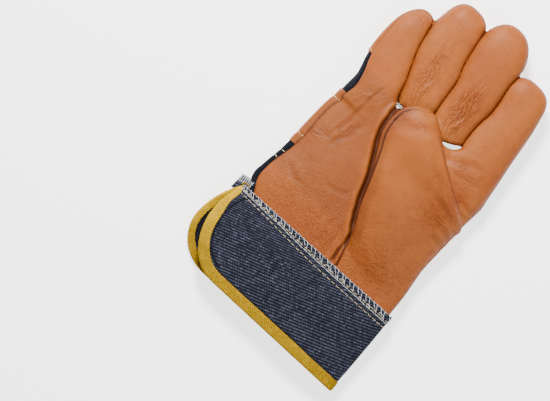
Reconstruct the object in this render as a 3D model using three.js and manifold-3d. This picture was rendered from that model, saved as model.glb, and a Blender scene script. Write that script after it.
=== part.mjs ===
// A right-hand leather work glove, lying on its back with the palm up and the thumb folded over it.
// Millimetres. +X runs across the palm to the thumb side, +Y to the finger tips, +Z up off the table.
// The leather body is one hollow form that is cut into its real panels along its seams.
import * as THREE from "three";
import { mergeVertices } from "three/addons/utils/BufferGeometryUtils.js";
import Module from "manifold-3d";

const wasm = await Module();
wasm.setup();

// Driving dimensions
const WALL = 1.4; // leather, and the backed denim of the hand's back
const SEAM_GAP = 0.4; // clear width between two panels that are sewn together
const THUMB_PROUD = 0.05; // the space that is cut out as the thumb goes this far past its skin
const FINGER_GAP = 0.7; // clear width between two fingers that lie side by side
const LEATHER_END = -11; // the leather stops this far inside the cuff
const CUFF_TOP = 0; // the cuff's overlocked upper edge
const CUFF_WALL = 1.6; // two layers of denim with a stiffener
const TAPE = 0.9; // the yellow binding tape
const TAPE_WIDTH = 7;
const TAPE_FIT = 0.4; // clear space between the tape and the denim that it folds round
const PALM_SIDES = 22; // corners of each form's section
const FINGER_SIDES = 12;
const THUMB_SIDES = 14;
const CUFF_SIDES = 32;
const CUFF_PARTING = 11.8; // height where the cuff's front meets its back
const STRAP_FROM = 40; // the leather knuckle strap on the back of the hand
const STRAP_TO = 91;
const REACH = 400; // longer than the glove, for cutting blocks
const SIDE = 150; // further out than either side of the glove
const FINGER_TOP = 214; // past the longest finger tip

// The seam between the front and the back: a sheet that is higher on the little finger's side, at edge,
// than on the thumb's side, at rim, and that climbs with the fingers
const seamRows = [
  { y: -60, left: -100, right: 100, edge: 21.6, rim: 4.1 },
  { y: 28, left: -100, right: 100, edge: 21.4, rim: 4.1 },
  { y: 84, left: -100, right: 100, edge: 21.0, rim: 4.1 },
  { y: 92, left: -100, right: 100, edge: 22.4, rim: 4.1 },
  { y: 98, left: -100, right: 100, edge: 23.2, rim: 4.1 },
  { y: 108, left: -100, right: 100, edge: 22.3, rim: 4.1 },
  { y: 120, left: -100, right: 100, edge: 20.9, rim: 4.2 },
  { y: 140, left: -100, right: 100, edge: 20.6, rim: 5.4 },
  { y: 164, left: -100, right: 100, edge: 18.6, rim: 7.8 },
  { y: 182, left: -100, right: 100, edge: 18.6, rim: 9.8 },
  { y: 214, left: -100, right: 100, edge: 20.0, rim: 13.0 },
];

// Sections across the glove. left and right are its edges, mid is the height of the widest place,
// and up and down are how far the form rises and falls from there.
const palmRows = [
  { y: -14, left: -65.6, right: 66.2, mid: 12.6, up: 9.3, down: 9.3 },
  { y: 0, left: -66.4, right: 67.0, mid: 12.6, up: 9.4, down: 9.4 },
  { y: 15, left: -66.9, right: 65.8, mid: 12.4, up: 10.6, down: 11.0 },
  { y: 30, left: -67.8, right: 63.2, mid: 12.0, up: 11.2, down: 13.0 },
  { y: 45, left: -68.8, right: 60.8, mid: 11.8, up: 11.4, down: 13.6 },
  { y: 62, left: -69.2, right: 60.8, mid: 11.6, up: 11.4, down: 13.8 },
  { y: 78, left: -69.0, right: 60.6, mid: 11.6, up: 11.2, down: 13.6 },
  { y: 90, left: -67.6, right: 60.4, mid: 11.8, up: 11.0, down: 13.2 },
  { y: 100, left: -66.0, right: 58.8, mid: 12.0, up: 10.6, down: 12.8 },
  { y: 108, left: -60.0, right: 54.0, mid: 12.0, up: 8.6, down: 10.4 },
  { y: 112, left: -50.0, right: 44.0, mid: 12.0, up: 4.5, down: 5.5 },
];

const fingerRows = {
  little: [
    { y: 88, left: -66.5, right: -34.0, mid: 12.2, up: 8.0, down: 9.0 },
    { y: 98, left: -67.0, right: -30.5, mid: 12.0, up: 11.2, down: 12.8 },
    { y: 108, left: -68.4, right: -30.0, mid: 11.8, up: 11.9, down: 12.6 },
    { y: 120, left: -72.4, right: -36.7, mid: 11.6, up: 12.2, down: 12.2 },
    { y: 135, left: -74.8, right: -43.7, mid: 11.8, up: 11.6, down: 11.6 },
    { y: 150, left: -74.8, right: -49.2, mid: 12.6, up: 10.4, down: 10.4 },
    { y: 160, left: -73.2, right: -51.2, mid: 13.4, up: 8.9, down: 8.9 },
    { y: 166, left: -70.3, right: -53.2, mid: 13.9, up: 7.0, down: 7.0 },
    { y: 169.6, left: -67.0, right: -56.0, mid: 14.1, up: 4.2, down: 4.2 },
  ],
  ring: [
    { y: 88, left: -44.0, right: -10.0, mid: 12.2, up: 8.0, down: 9.0 },
    { y: 98, left: -40.0, right: -7.0, mid: 12.0, up: 11.6, down: 12.8 },
    { y: 110, left: -34.0, right: -7.4, mid: 12.0, up: 12.2, down: 12.8 },
    { y: 122, left: -39.4, right: -8.2, mid: 12.0, up: 12.6, down: 12.6 },
    { y: 136, left: -46.0, right: -9.9, mid: 12.4, up: 12.4, down: 12.4 },
    { y: 150, left: -50.8, right: -13.7, mid: 13.2, up: 12.0, down: 12.0 },
    { y: 164, left: -52.8, right: -17.6, mid: 14.4, up: 11.6, down: 11.6 },
    { y: 178, left: -54.0, right: -20.2, mid: 15.8, up: 10.8, down: 10.8 },
    { y: 187, left: -53.2, right: -23.0, mid: 16.7, up: 9.2, down: 9.2 },
    { y: 192, left: -49.8, right: -27.8, mid: 17.2, up: 6.8, down: 6.8 },
    { y: 195, left: -45.2, right: -32.2, mid: 17.4, up: 3.8, down: 3.8 },
  ],
  middle: [
    { y: 88, left: -14.0, right: 20.0, mid: 12.2, up: 8.0, down: 9.0 },
    { y: 98, left: -12.0, right: 21.0, mid: 12.0, up: 11.6, down: 12.8 },
    { y: 110, left: -10.8, right: 19.4, mid: 12.0, up: 12.2, down: 12.8 },
    { y: 122, left: -9.8, right: 19.6, mid: 12.0, up: 12.6, down: 12.6 },
    { y: 136, left: -11.6, right: 20.2, mid: 12.4, up: 12.6, down: 12.6 },
    { y: 150, left: -15.2, right: 20.2, mid: 13.4, up: 12.4, down: 12.4 },
    { y: 164, left: -19.2, right: 19.2, mid: 14.8, up: 12.0, down: 12.0 },
    { y: 178, left: -21.8, right: 16.6, mid: 16.4, up: 11.4, down: 11.4 },
    { y: 190, left: -22.2, right: 12.4, mid: 17.8, up: 10.4, down: 10.4 },
    { y: 199, left: -20.6, right: 7.8, mid: 18.8, up: 8.4, down: 8.4 },
    { y: 204.2, left: -15.6, right: 3.0, mid: 19.3, up: 5.6, down: 5.6 },
    { y: 206.4, left: -10.2, right: -0.8, mid: 19.5, up: 2.8, down: 2.8 },
  ],
  index: [
    { y: 88, left: 22.0, right: 58.6, mid: 12.0, up: 8.0, down: 9.0 },
    { y: 98, left: 17.0, right: 60.4, mid: 12.0, up: 11.4, down: 12.8 },
    { y: 110, left: 14.0, right: 59.0, mid: 12.0, up: 12.0, down: 12.8 },
    { y: 122, left: 18.8, right: 56.8, mid: 12.0, up: 12.4, down: 12.4 },
    { y: 136, left: 18.6, right: 54.0, mid: 12.4, up: 12.2, down: 12.2 },
    { y: 150, left: 18.7, right: 51.6, mid: 13.2, up: 11.8, down: 11.8 },
    { y: 164, left: 17.6, right: 48.9, mid: 14.4, up: 11.2, down: 11.2 },
    { y: 175, left: 15.6, right: 46.2, mid: 15.6, up: 10.2, down: 10.2 },
    { y: 182, left: 15.4, right: 43.4, mid: 16.3, up: 8.4, down: 8.4 },
    { y: 186, left: 18.8, right: 39.4, mid: 16.7, up: 5.6, down: 5.6 },
    { y: 187.6, left: 24.0, right: 35.4, mid: 16.8, up: 2.9, down: 2.9 },
  ],
};

// The thumb's sections slope: its left edge lies on the palm at height edge, and its right edge at rim.
const thumbRows = [
  { y: 4, left: 18.0, right: 62.0, edge: 14.0, rim: 12.0, up: 7.0, down: 3.0 },
  { y: 16, left: 11.0, right: 64.6, edge: 20.0, rim: 12.4, up: 8.6, down: 4.0 },
  { y: 28, left: 5.4, right: 62.8, edge: 25.4, rim: 12.6, up: 9.6, down: 4.0 },
  { y: 42, left: -2.0, right: 61.0, edge: 28.6, rim: 13.0, up: 10.6, down: 4.2 },
  { y: 56, left: -8.4, right: 60.8, edge: 30.4, rim: 13.6, up: 11.4, down: 5.0 },
  { y: 70, left: -16.0, right: 60.6, edge: 31.2, rim: 15.0, up: 11.8, down: 5.6 },
  { y: 80, left: -22.0, right: 60.2, edge: 31.6, rim: 17.2, up: 11.8, down: 6.0 },
  { y: 87, left: -26.0, right: 51.0, edge: 32.0, rim: 23.4, up: 11.4, down: 6.6 },
  { y: 95, left: -28.4, right: 35.5, edge: 32.4, rim: 28.6, up: 10.8, down: 7.0 },
  { y: 104, left: -29.2, right: 20.5, edge: 32.6, rim: 31.6, up: 10.0, down: 7.4 },
  { y: 112, left: -27.4, right: 8.6, edge: 32.6, rim: 32.4, up: 8.8, down: 7.0 },
  { y: 118, left: -22.8, right: 0.8, edge: 32.4, rim: 32.4, up: 6.6, down: 5.6 },
  { y: 121.4, left: -17.6, right: -4.4, edge: 32.2, rim: 32.2, up: 3.6, down: 3.2 },
];

// The line on the palm where the thumb panel is sewn in, from the cuff up to the thumb's left edge,
// and then its hidden run under the thumb to the outer edge of the glove
const thumbPanelLine = [
  { x: 15.5, y: -40 },
  { x: 15.2, y: 2 },
  { x: 13.6, y: 11 },
  { x: 9.6, y: 20 },
  { x: 18, y: 48 },
  { x: 34, y: 72 },
  { x: 50, y: 84 },
  { x: 90, y: 86 },
];

// Where one finger meets the next, from the crotch up
const fingerCracks = [
  {
    crotch: { x: -31, y: 110, long: 2.6, wide: 1.9, turn: 0 },
    line: [
      [-32, 110], [-37.2, 120], [-41.8, 129], [-46.3, 139],
      [-50, 150], [-52, 162], [-53.4, 172], [-54.6, 200],
    ],
  },
  {
    crotch: { x: -9.2, y: 121.5, long: 2.2, wide: 1.2, turn: 0 },
    line: [
      [-9, 121], [-9.6, 130], [-11.4, 141], [-14.6, 152],
      [-18.2, 163], [-20.2, 173], [-21.6, 184], [-23.6, 214],
    ],
  },
  {
    crotch: { x: 14.6, y: 115, long: 7.2, wide: 2.6, turn: 28 },
    line: [
      [19, 117], [19.2, 128], [19.6, 142], [19.4, 154], [18.2, 165], [16.2, 176], [14.6, 186], [13.4, 214],
    ],
  },
];

// Where the leather finger tip meets the denim on the back of each finger
const tipCapFrom = { little: 123, ring: 148, middle: 158, index: 140 };

// Broad dents in the upper side: a line in plan, how deep it is pressed, and how wide it spreads
const dents = [
  { ax: -36, ay: 22, bx: -50, by: 78, deep: 1.6, wide: 9 },
  { ax: -62, ay: 96, bx: -36, by: 102, deep: 1.8, wide: 7 },
  { ax: -22, ay: 116, bx: 12, by: 112, deep: 1.8, wide: 7 },
  { ax: 22, ay: 106, bx: 56, by: 92, deep: 2.6, wide: 7 },
  { ax: 30, ay: 8, bx: 64, by: 20, deep: 1.6, wide: 8 },
  { ax: -60, ay: 8, bx: -10, by: 16, deep: 1.2, wide: 8 },
];

// The cuff's sections. It is drawn past the slit on the little finger's side, and cut back there.
const cuffRows = [
  { y: -76, left: -97.0, right: 74.6, mid: 9.8, up: 8.6, down: 8.6 },
  { y: -48, left: -94.0, right: 73.0, mid: 10.6, up: 9.6, down: 9.4 },
  { y: -28, left: -88.0, right: 71.8, mid: 11.6, up: 10.9, down: 10.4 },
  { y: -12, left: -78.0, right: 70.4, mid: 12.4, up: 11.6, down: 11.2 },
  { y: 0, left: -71.8, right: 69.4, mid: 12.65, up: 11.45, down: 11.45 },
  { y: 8, left: -71.2, right: 69.0, mid: 12.65, up: 11.45, down: 11.45 },
];

// The cuff's free edge in plan: a straight hem, and a rounded corner on each side of the slit
const hem = { leftX: -40, leftY: -69.6, rightX: 74, rightY: -66.2 };
const frontCorner = { x: -40, y: -28, halfWidth: 34, halfHeight: 41.6 };
const backCorner = { x: -44, y: -33, halfWidth: 36, halfHeight: 36.7 };
const SLIT_TOP = -7;
const hemSlope = (hem.rightY - hem.leftY) / (hem.rightX - hem.leftX);
const hemYAt = (x) => hem.leftY + hemSlope * (x - hem.leftX);

// Solids from three.js geometry, and back
function solidOf(geometry) {
  const bare = geometry.index ? geometry.toNonIndexed() : geometry.clone();
  bare.deleteAttribute("normal");
  bare.deleteAttribute("uv");
  const merged = mergeVertices(bare, 1e-4);
  return new wasm.Manifold(
    new wasm.Mesh({
      numProp: 3,
      vertProperties: merged.attributes.position.array,
      triVerts: new Uint32Array(merged.index.array),
    }),
  );
}

function geometryOf(solid) {
  const mesh = solid.getMesh();
  const geometry = new THREE.BufferGeometry();
  geometry.setAttribute("position", new THREE.BufferAttribute(mesh.vertProperties, 3));
  geometry.setIndex(new THREE.BufferAttribute(mesh.triVerts, 1));
  geometry.computeVertexNormals();
  return geometry;
}

function block(x0, x1, y0, y1, z0, z1) {
  const geometry = new THREE.BoxGeometry(x1 - x0, y1 - y0, z1 - z0);
  geometry.translate((x0 + x1) / 2, (y0 + y1) / 2, (z0 + z1) / 2);
  return solidOf(geometry);
}

function prism(points, low = -REACH, high = REACH) {
  const shape = new THREE.Shape(points.map((p) => new THREE.Vector2(p.x, p.y)));
  const geometry = new THREE.ExtrudeGeometry(shape, { depth: high - low, bevelEnabled: false });
  geometry.translate(0, 0, low);
  return solidOf(geometry);
}

// Only the main body of a cut is kept: a plane that grazes a fold can leave a crumb
function largest(solid) {
  return solid.decompose().reduce((a, b) => (a.volume() > b.volume() ? a : b));
}

function dentAt(x, y) {
  return dents.reduce((sum, d) => {
    const along = new THREE.Vector2(d.bx - d.ax, d.by - d.ay);
    const from = new THREE.Vector2(x - d.ax, y - d.ay);
    const share = THREE.MathUtils.clamp(from.dot(along) / along.lengthSq(), 0, 1);
    const away = from.addScaledVector(along, -share).length();
    return sum + d.deep * Math.exp(-((away / d.wide) ** 2));
  }, 0);
}

// The corners of one section, from the +X side over the top
function sectionOf(row, { inset = 0, sides, square }) {
  const [left, right] = [row.left + inset, row.right - inset];
  const [leftZ, rightZ] = "mid" in row ? [row.mid, row.mid] : [row.edge, row.rim];
  const [cx, half] = [(left + right) / 2, Math.max((right - left) / 2, 0.3)];
  const [up, down] = [Math.max(row.up - inset, 0.2), Math.max(row.down - inset, 0.2)];
  return Array.from({ length: sides }, (_, i) => {
    const turn = (i / sides) * 2 * Math.PI;
    const [c, s] = [Math.cos(turn), Math.sin(turn)];
    const x = cx + half * Math.sign(c) * Math.abs(c) ** (2 / square);
    const base = THREE.MathUtils.lerp(leftZ, rightZ, (x - left) / (right - left));
    const rise = (s > 0 ? up : down) * Math.sign(s) * Math.abs(s) ** (2 / square);
    return { x, z: base + rise, over: Math.max(s, 0) };
  });
}

function solidFrom(points, faces) {
  const geometry = new THREE.BufferGeometry();
  geometry.setAttribute("position", new THREE.Float32BufferAttribute(points.flat(), 3));
  geometry.setIndex(faces);
  return solidOf(geometry);
}

// Rings of equal length joined into a tube, and closed flat or to a tip at each end
function skinOf(rings, startCentre, stopCentre) {
  const sides = rings[0].length;
  const points = [...rings.flat(), startCentre, stopCentre];
  const [start, stop] = [points.length - 2, points.length - 1];
  const last = (rings.length - 1) * sides;
  const faces = [];
  for (let i = 0; i < sides; i++) {
    const next = (i + 1) % sides;
    for (let r = 0; r < last; r += sides) {
      faces.push(r + i, r + i + sides, r + next, r + next, r + i + sides, r + next + sides);
    }
    faces.push(start, i, next, stop, last + next, last + i);
  }
  return solidFrom(points, faces);
}

// A closed form through the rows. inset shrinks it all round, for the hollow, and shorten pulls in
// its far end.
function loft(rows, { inset = 0, sides, square, tip = null, dented = true, shorten = inset }) {
  const [first, last] = [rows[0].y, tip ?? rows.at(-1).y];
  const squeeze = (y) => first + (y - first) * (1 - shorten / (last - first));
  const rings = rows.map((row) => {
    const y = squeeze(row.y);
    return sectionOf(row, { inset, sides, square }).map(({ x, z, over }) => [
      x, y, z - (dented ? dentAt(x, y) * over : 0),
    ]);
  });
  const centre = (row, y) => [(row.left + row.right) / 2, y, row.mid ?? (row.edge + row.rim) / 2];
  return skinOf(rings, centre(rows[0], first), centre(rows.at(-1), squeeze(last)));
}

// Everything under a sheet through the rows' edge and rim heights, raised by shift
function underSheet(rows, shift, margin) {
  const rings = rows.map((row) => {
    const slope = (row.rim - row.edge) / (row.right - row.left);
    const [low, high] = [row.left - margin, row.right + margin];
    const at = (x) => row.edge + slope * (x - row.left) + shift;
    return [[low, row.y, at(low)], [low, row.y, -60], [high, row.y, -60], [high, row.y, at(high)]];
  });
  const centre = (ring) => [0, 1, 2].map((k) => ring.reduce((sum, p) => sum + p[k] / 4, 0));
  return skinOf(rings, centre(rings[0]), centre(rings.at(-1)));
}

// A thin upright wall of air along a crack, with the crotch's small hole at its foot
function crackCut({ crotch, line }, halfWidth) {
  const grow = halfWidth - FINGER_GAP / 2;
  const points = line.map(([x, y]) => new THREE.Vector2(x, y));
  const sideways = points.map((p, i) => {
    const along = points[Math.min(i + 1, points.length - 1)].clone().sub(points[Math.max(i - 1, 0)]);
    return new THREE.Vector2(-along.y, along.x).setLength(halfWidth);
  });
  const outline = [
    ...points.map((p, i) => p.clone().add(sideways[i])),
    ...points.map((p, i) => p.clone().sub(sideways[i])).reverse(),
  ].reverse();
  const turn = THREE.MathUtils.degToRad(crotch.turn);
  const hole = new THREE.EllipseCurve(
    crotch.x, crotch.y, crotch.long + grow, crotch.wide + grow, 0, 2 * Math.PI, false, turn,
  );
  return prism(outline).add(prism(hole.getPoints(10).slice(0, -1)));
}

function unionOf(solids) {
  return solids.reduce((a, b) => a.add(b));
}

const thumbForm = { sides: THUMB_SIDES, square: 2.2, tip: 122.6, dented: false };

// The whole leather form, grown inwards by inset: 0 for its skin, WALL for its hollow
function handForm(inset) {
  const mouth = inset ? LEATHER_END - 5 : LEATHER_END;
  const bodies = [
    loft(palmRows, { inset, sides: PALM_SIDES, square: 2.6 }),
    ...Object.values(fingerRows).map((rows) =>
      loft(rows, { inset, sides: FINGER_SIDES, square: 2.2, tip: rows.at(-1).y + 1.2 }),
    ),
  ];
  const cracks = fingerCracks.map((crack) => crackCut(crack, FINGER_GAP / 2 + inset));
  const hand = cracks.reduce((solid, cut) => solid.subtract(cut), unionOf(bodies));
  const thumb = loft(thumbRows, { ...thumbForm, inset });
  const below = block(-REACH, REACH, -REACH, REACH, -REACH, inset);
  const beyond = block(-REACH, REACH, -REACH, mouth, -REACH, REACH);
  return hand.add(thumb).subtract(below).subtract(beyond);
}

// The seam sheets: between the glove's front and back, and along the edges of the thumb
const underSeam = (shift) => underSheet(seamRows, shift, 0);
const thumbSeamRows = [{ ...thumbRows[0], y: -40 }, ...thumbRows, { ...thumbRows.at(-1), y: 140 }];
const underThumbSeam = (shift) => underSheet(thumbSeamRows, shift, 25);

// The rounded corner beside the slit in plan, from the slit's top down to the hem, moved in by inset
function cuffArc(corner, inset, steps, top = SLIT_TOP) {
  const [a, b] = [corner.halfWidth - inset, corner.halfHeight - inset];
  const from = Math.asin((top - corner.y) / b);
  return Array.from({ length: steps + 1 }, (_, i) => {
    const turn = THREE.MathUtils.lerp(from, -Math.PI / 2, i / steps);
    return { x: corner.x - a * Math.cos(turn), y: corner.y + b * Math.sin(turn) };
  });
}

// The plan outline that one of the cuff's panels keeps, moved in from its free edge by inset
function cuffPlan(corner, inset) {
  const right = 100;
  return [
    { x: right, y: CUFF_TOP },
    { x: -right, y: CUFF_TOP },
    { x: -right, y: SLIT_TOP },
    ...cuffArc(corner, inset, 12),
    { x: right, y: hemYAt(right) + inset },
  ];
}

const cuffForm = { sides: CUFF_SIDES, square: 3, dented: false, shorten: 0 };

// The cuff's two skins, the sheet between them
function cuffTube() {
  const past = 4; // the hollow runs out of both ends
  const hollowRows = cuffRows.map((row, i) => ({ ...row, y: row.y - (i ? 0 : past) }));
  hollowRows.at(-1).y += past;
  return loft(cuffRows, cuffForm).subtract(loft(hollowRows, { ...cuffForm, inset: CUFF_WALL }));
}

// The section of the sheet's middle at any y, corner by corner
function cuffMiddleAt(y) {
  const r = cuffRows.findIndex((row, i) => i > 0 && row.y >= y);
  const [a, b] = [cuffRows[r - 1], cuffRows[r]];
  const t = (y - a.y) / (b.y - a.y);
  const [pa, pb] = [a, b].map((row) => sectionOf(row, { ...cuffForm, inset: CUFF_WALL / 2 }));
  return pa.map((p, i) => new THREE.Vector3(
    THREE.MathUtils.lerp(p.x, pb[i].x, t), y, THREE.MathUtils.lerp(p.z, pb[i].z, t),
  ));
}

// The point of the sheet's middle over a place in plan, on the front or the back panel
function onCuff(x, y, front) {
  const corners = cuffMiddleAt(y);
  const from = front ? 0 : CUFF_SIDES / 2;
  for (let i = from; i < from + CUFF_SIDES / 2; i++) {
    const [p, q] = [corners[i], corners[(i + 1) % CUFF_SIDES]];
    const share = (x - p.x) / (q.x - p.x);
    if (share >= 0 && share <= 1) return p.clone().lerp(q, share);
  }
  throw new Error("the cuff has no sheet at " + x + ", " + y);
}

const upperHalf = block(-REACH, REACH, -REACH, REACH, CUFF_PARTING, REACH);
const lowerHalf = block(-REACH, REACH, -REACH, REACH, -REACH, CUFF_PARTING);

function cuffRegion(inset) {
  const front = prism(cuffPlan(frontCorner, inset)).intersect(upperHalf);
  const back = prism(cuffPlan(backCorner, inset)).intersect(lowerHalf);
  return front.add(back);
}

// The leather form cut into its panels
const shell = handForm(0).subtract(handForm(WALL));
const frontHalf = shell.subtract(underSeam(SEAM_GAP / 2));
const backHalf = shell.intersect(underSeam(-SEAM_GAP / 2));

const thumbBody = loft(thumbRows, { ...thumbForm, inset: -THUMB_PROUD });
const thumbSpace = loft(thumbRows, { ...thumbForm, inset: -THUMB_PROUD - SEAM_GAP });
const panelArea = prism([...thumbPanelLine, { x: 90, y: -40 }].reverse());

// The palm's own cut is moved off the panel's line, so that the two stay clear of each other
const panelClear = { x: -1.5 * SEAM_GAP, y: SEAM_GAP };
const shiftedLine = thumbPanelLine.map((p) => ({ x: p.x + panelClear.x, y: p.y + panelClear.y }));
const shiftedPanelArea = prism([...shiftedLine, { x: 90, y: -40 }].reverse());
const thumbZone = thumbBody.add(panelArea);

const palm = largest(frontHalf.subtract(thumbSpace).subtract(shiftedPanelArea));
const thumbShell = frontHalf.intersect(thumbZone);
const thumbBack = largest(
  thumbShell.intersect(underThumbSeam(-SEAM_GAP / 2)).subtract(shiftedPanelArea),
);
const thumbFront = largest(thumbShell.subtract(underThumbSeam(SEAM_GAP / 2).subtract(panelArea)));

function band(from, to) {
  return block(-REACH, REACH, from, to, -REACH, REACH);
}

const handBack = largest(backHalf.intersect(band(-REACH, STRAP_FROM - SEAM_GAP / 2)));
const knuckleStrap = largest(backHalf.intersect(band(STRAP_FROM + SEAM_GAP / 2, STRAP_TO - SEAM_GAP / 2)));

const fingerNames = Object.keys(fingerRows);
const fingerArea = (i) => {
  const side = (crack) => crack.line.map(([x, y]) => ({ x, y }));
  const edge = (x) => [{ x, y: STRAP_TO }, { x, y: FINGER_TOP }];
  const left = i > 0 ? side(fingerCracks[i - 1]) : edge(-SIDE);
  const right = i < fingerCracks.length ? side(fingerCracks[i]) : edge(SIDE);
  return prism([...right, ...left.slice().reverse()]);
};

const capAreas = fingerNames.map((name, i) =>
  fingerArea(i).intersect(band(tipCapFrom[name], REACH)),
);
const capCuts = fingerNames.map((name, i) =>
  fingerArea(i).intersect(band(tipCapFrom[name] - SEAM_GAP, REACH)),
);
const fingerBacks = largest(
  capCuts.reduce(
    (solid, cut) => solid.subtract(cut),
    backHalf.intersect(band(STRAP_TO + SEAM_GAP / 2, REACH)),
  ),
);
const tipCaps = capAreas.map((area) => largest(backHalf.intersect(area)));

// The binding is one U-shaped tape, swept down the front corner, along the hem, round the fold and up
// the back. Each place on its path is the sheet's edge, and a point further in that the tape leans towards.
function tapePath() {
  const flange = TAPE_WIDTH - TAPE;
  const arc = (corner, front) => {
    const edge = cuffArc(corner, TAPE, 12, SLIT_TOP - 2).slice(0, -1);
    return edge.map(({ x, y }) => {
      const inward = new THREE.Vector2(
        (corner.x - x) / corner.halfWidth ** 2, (corner.y - y) / corner.halfHeight ** 2,
      ).setLength(flange);
      return { point: onCuff(x, y, front), inner: onCuff(x + inward.x, y + inward.y, front) };
    });
  };
  const middle = cuffMiddleAt(hemYAt(0));
  const hemEdge = middle.map((p, i) => {
    const y = hemYAt(p.x) + TAPE;
    return { point: cuffMiddleAt(y)[i], inner: cuffMiddleAt(y + flange)[i] };
  });
  const half = CUFF_SIDES / 2;
  const front = hemEdge.slice(0, half).filter((p) => p.point.x > frontCorner.x + 1).reverse();
  const back = hemEdge.slice(half).filter((p) => p.point.x > backCorner.x + 1).reverse();
  return [...arc(frontCorner, true), ...front, ...back, ...arc(backCorner, false).reverse()];
}

function tapeSolid() {
  const path = tapePath();
  const flange = TAPE_WIDTH - TAPE;
  const profileFor = (slot) => [
    [-TAPE, slot + TAPE], [-TAPE, -slot - TAPE], [flange, -slot - TAPE], [flange, -slot],
    [0, -slot], [0, slot], [flange, slot], [flange, slot + TAPE],
  ];
  const rings = path.map(({ point, inner }, i) => {
    const before = path[Math.max(i - 1, 0)].point;
    const after = path[Math.min(i + 1, path.length - 1)].point;
    const along = after.clone().sub(before).normalize();
    const outward = along.clone().cross(inner.clone().sub(point)).normalize();
    const inward = outward.clone().cross(along).normalize();
    const slot = (CUFF_WALL / 2) * (Math.abs(outward.x) + Math.abs(outward.z)) + TAPE_FIT;
    return profileFor(slot).map(([w, h]) =>
      point.clone().addScaledVector(inward, w).addScaledVector(outward, h).toArray(),
    );
  });
  return sweepOf(rings, profileFor(1));
}

// A tube through rings that run counterclockwise round the path, with its flat ends cut from the profile
function sweepOf(rings, profile) {
  const sides = profile.length;
  const last = (rings.length - 1) * sides;
  const faces = [];
  for (let r = 0; r < last; r += sides) {
    for (let i = 0; i < sides; i++) {
      const next = (i + 1) % sides;
      faces.push(r + i, r + next, r + i + sides, r + next, r + next + sides, r + i + sides);
    }
  }
  const outline = profile.map(([w, h]) => new THREE.Vector2(w, h));
  for (const corner of THREE.ShapeUtils.triangulateShape(outline, [])) {
    const [a, b, c] = corner.toSorted((p, q) => p - q);
    faces.push(a, c, b, last + a, last + b, last + c);
  }
  return solidFrom(rings.flat(), faces);
}

const cuff = largest(cuffTube().intersect(cuffRegion(TAPE + 2 * TAPE_FIT)));
const binding = tapeSolid().subtract(block(-REACH, REACH, -REACH, REACH, -REACH, 0));

// Materials
const leather = new THREE.MeshStandardMaterial({ color: 0xc67a45, roughness: 0.55, metalness: 0 });
const denim = new THREE.MeshStandardMaterial({ color: 0x27304b, roughness: 0.9, metalness: 0 });
const cuffDenim = new THREE.MeshStandardMaterial({ color: 0x3c4a63, roughness: 0.9, metalness: 0 });
const tape = new THREE.MeshStandardMaterial({ color: 0xd0ab2c, roughness: 0.8, metalness: 0 });

const glove = new THREE.Group();
function add(name, solid, material) {
  const mesh = new THREE.Mesh(geometryOf(solid), material);
  mesh.name = name;
  glove.add(mesh);
}

add("palm", palm, leather);
add("thumb_front", thumbFront, leather);
add("thumb_back", thumbBack, leather);
add("hand_back", handBack, denim);
add("knuckle_strap", knuckleStrap, leather);
add("finger_backs", fingerBacks, denim);
fingerNames.forEach((name, i) => add(`tip_cap_${name}`, tipCaps[i], leather));
add("cuff", cuff, cuffDenim);
add("cuff_binding", binding, tape);

// The frame's origin is under the middle of the glove, on the table
const whole = new THREE.Box3().setFromObject(glove);
const middle = whole.getCenter(new THREE.Vector3());
glove.position.set(-middle.x, -middle.y, 0);

export default glove;
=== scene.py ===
# %% [markdown]
# A leather work glove, lying on its back with the palm up and the thumb folded over the palm.
# The real glove is sewn inside out from flat panels and then turned, so its surface is soft and
# puffy between the seams, and every seam sits in a small valley. This lesson follows the same
# order: first one soft body, then its creases, then the cut into panels, and at the end the cuff,
# the threads and the finishes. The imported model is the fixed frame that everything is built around.

# %% Load the frame
import math

import bmesh
import bpy
import numpy as np
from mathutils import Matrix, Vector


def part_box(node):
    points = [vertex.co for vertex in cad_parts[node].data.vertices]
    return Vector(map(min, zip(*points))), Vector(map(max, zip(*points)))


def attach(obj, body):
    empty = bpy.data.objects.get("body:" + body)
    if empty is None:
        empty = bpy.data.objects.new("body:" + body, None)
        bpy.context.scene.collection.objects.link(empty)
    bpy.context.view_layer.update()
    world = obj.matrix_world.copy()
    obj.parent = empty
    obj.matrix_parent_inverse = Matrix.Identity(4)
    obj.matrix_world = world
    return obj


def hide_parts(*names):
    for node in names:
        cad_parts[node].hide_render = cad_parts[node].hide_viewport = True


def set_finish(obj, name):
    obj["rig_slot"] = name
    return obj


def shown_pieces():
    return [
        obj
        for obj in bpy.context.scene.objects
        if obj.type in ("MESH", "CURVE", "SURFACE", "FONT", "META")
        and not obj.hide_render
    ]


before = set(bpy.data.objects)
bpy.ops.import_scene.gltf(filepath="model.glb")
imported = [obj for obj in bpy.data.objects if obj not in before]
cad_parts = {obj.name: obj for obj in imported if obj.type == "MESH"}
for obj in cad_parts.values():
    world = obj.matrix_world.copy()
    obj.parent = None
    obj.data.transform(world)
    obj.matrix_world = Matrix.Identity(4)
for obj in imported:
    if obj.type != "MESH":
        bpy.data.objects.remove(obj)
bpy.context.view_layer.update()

import openvdb
from mathutils import Vector
from mathutils.bvhtree import BVHTree

print("frame loaded, nodes:", len(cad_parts))

# %% [markdown]
# The glove is drawn in millimetres from the middle of the cuff's top edge, because a glove maker
# measures from there. X runs across the palm to the thumb's side, Y to the finger tips and Z out
# of the palm. Two faces of the frame say where that point lies in metres, so nothing is fitted by eye.

# %% Place of the drawing in the frame
MM = 0.001
STRAP_LEFT = -69.2  # the palm's outermost point on the little finger's side
drawing_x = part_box("knuckle_strap")[0].x - STRAP_LEFT * MM
drawing_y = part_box("cuff")[1].y
ORIGIN = np.array([drawing_x, drawing_y, 0.0])
WALL = 1.3
MID_HEIGHT = 12.0  # halfway up the flat hand
LEATHER_END = -11.0  # the leather stops inside the cuff
STRAP_FROM = 40.0
STRAP_TO = 91.0


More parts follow.
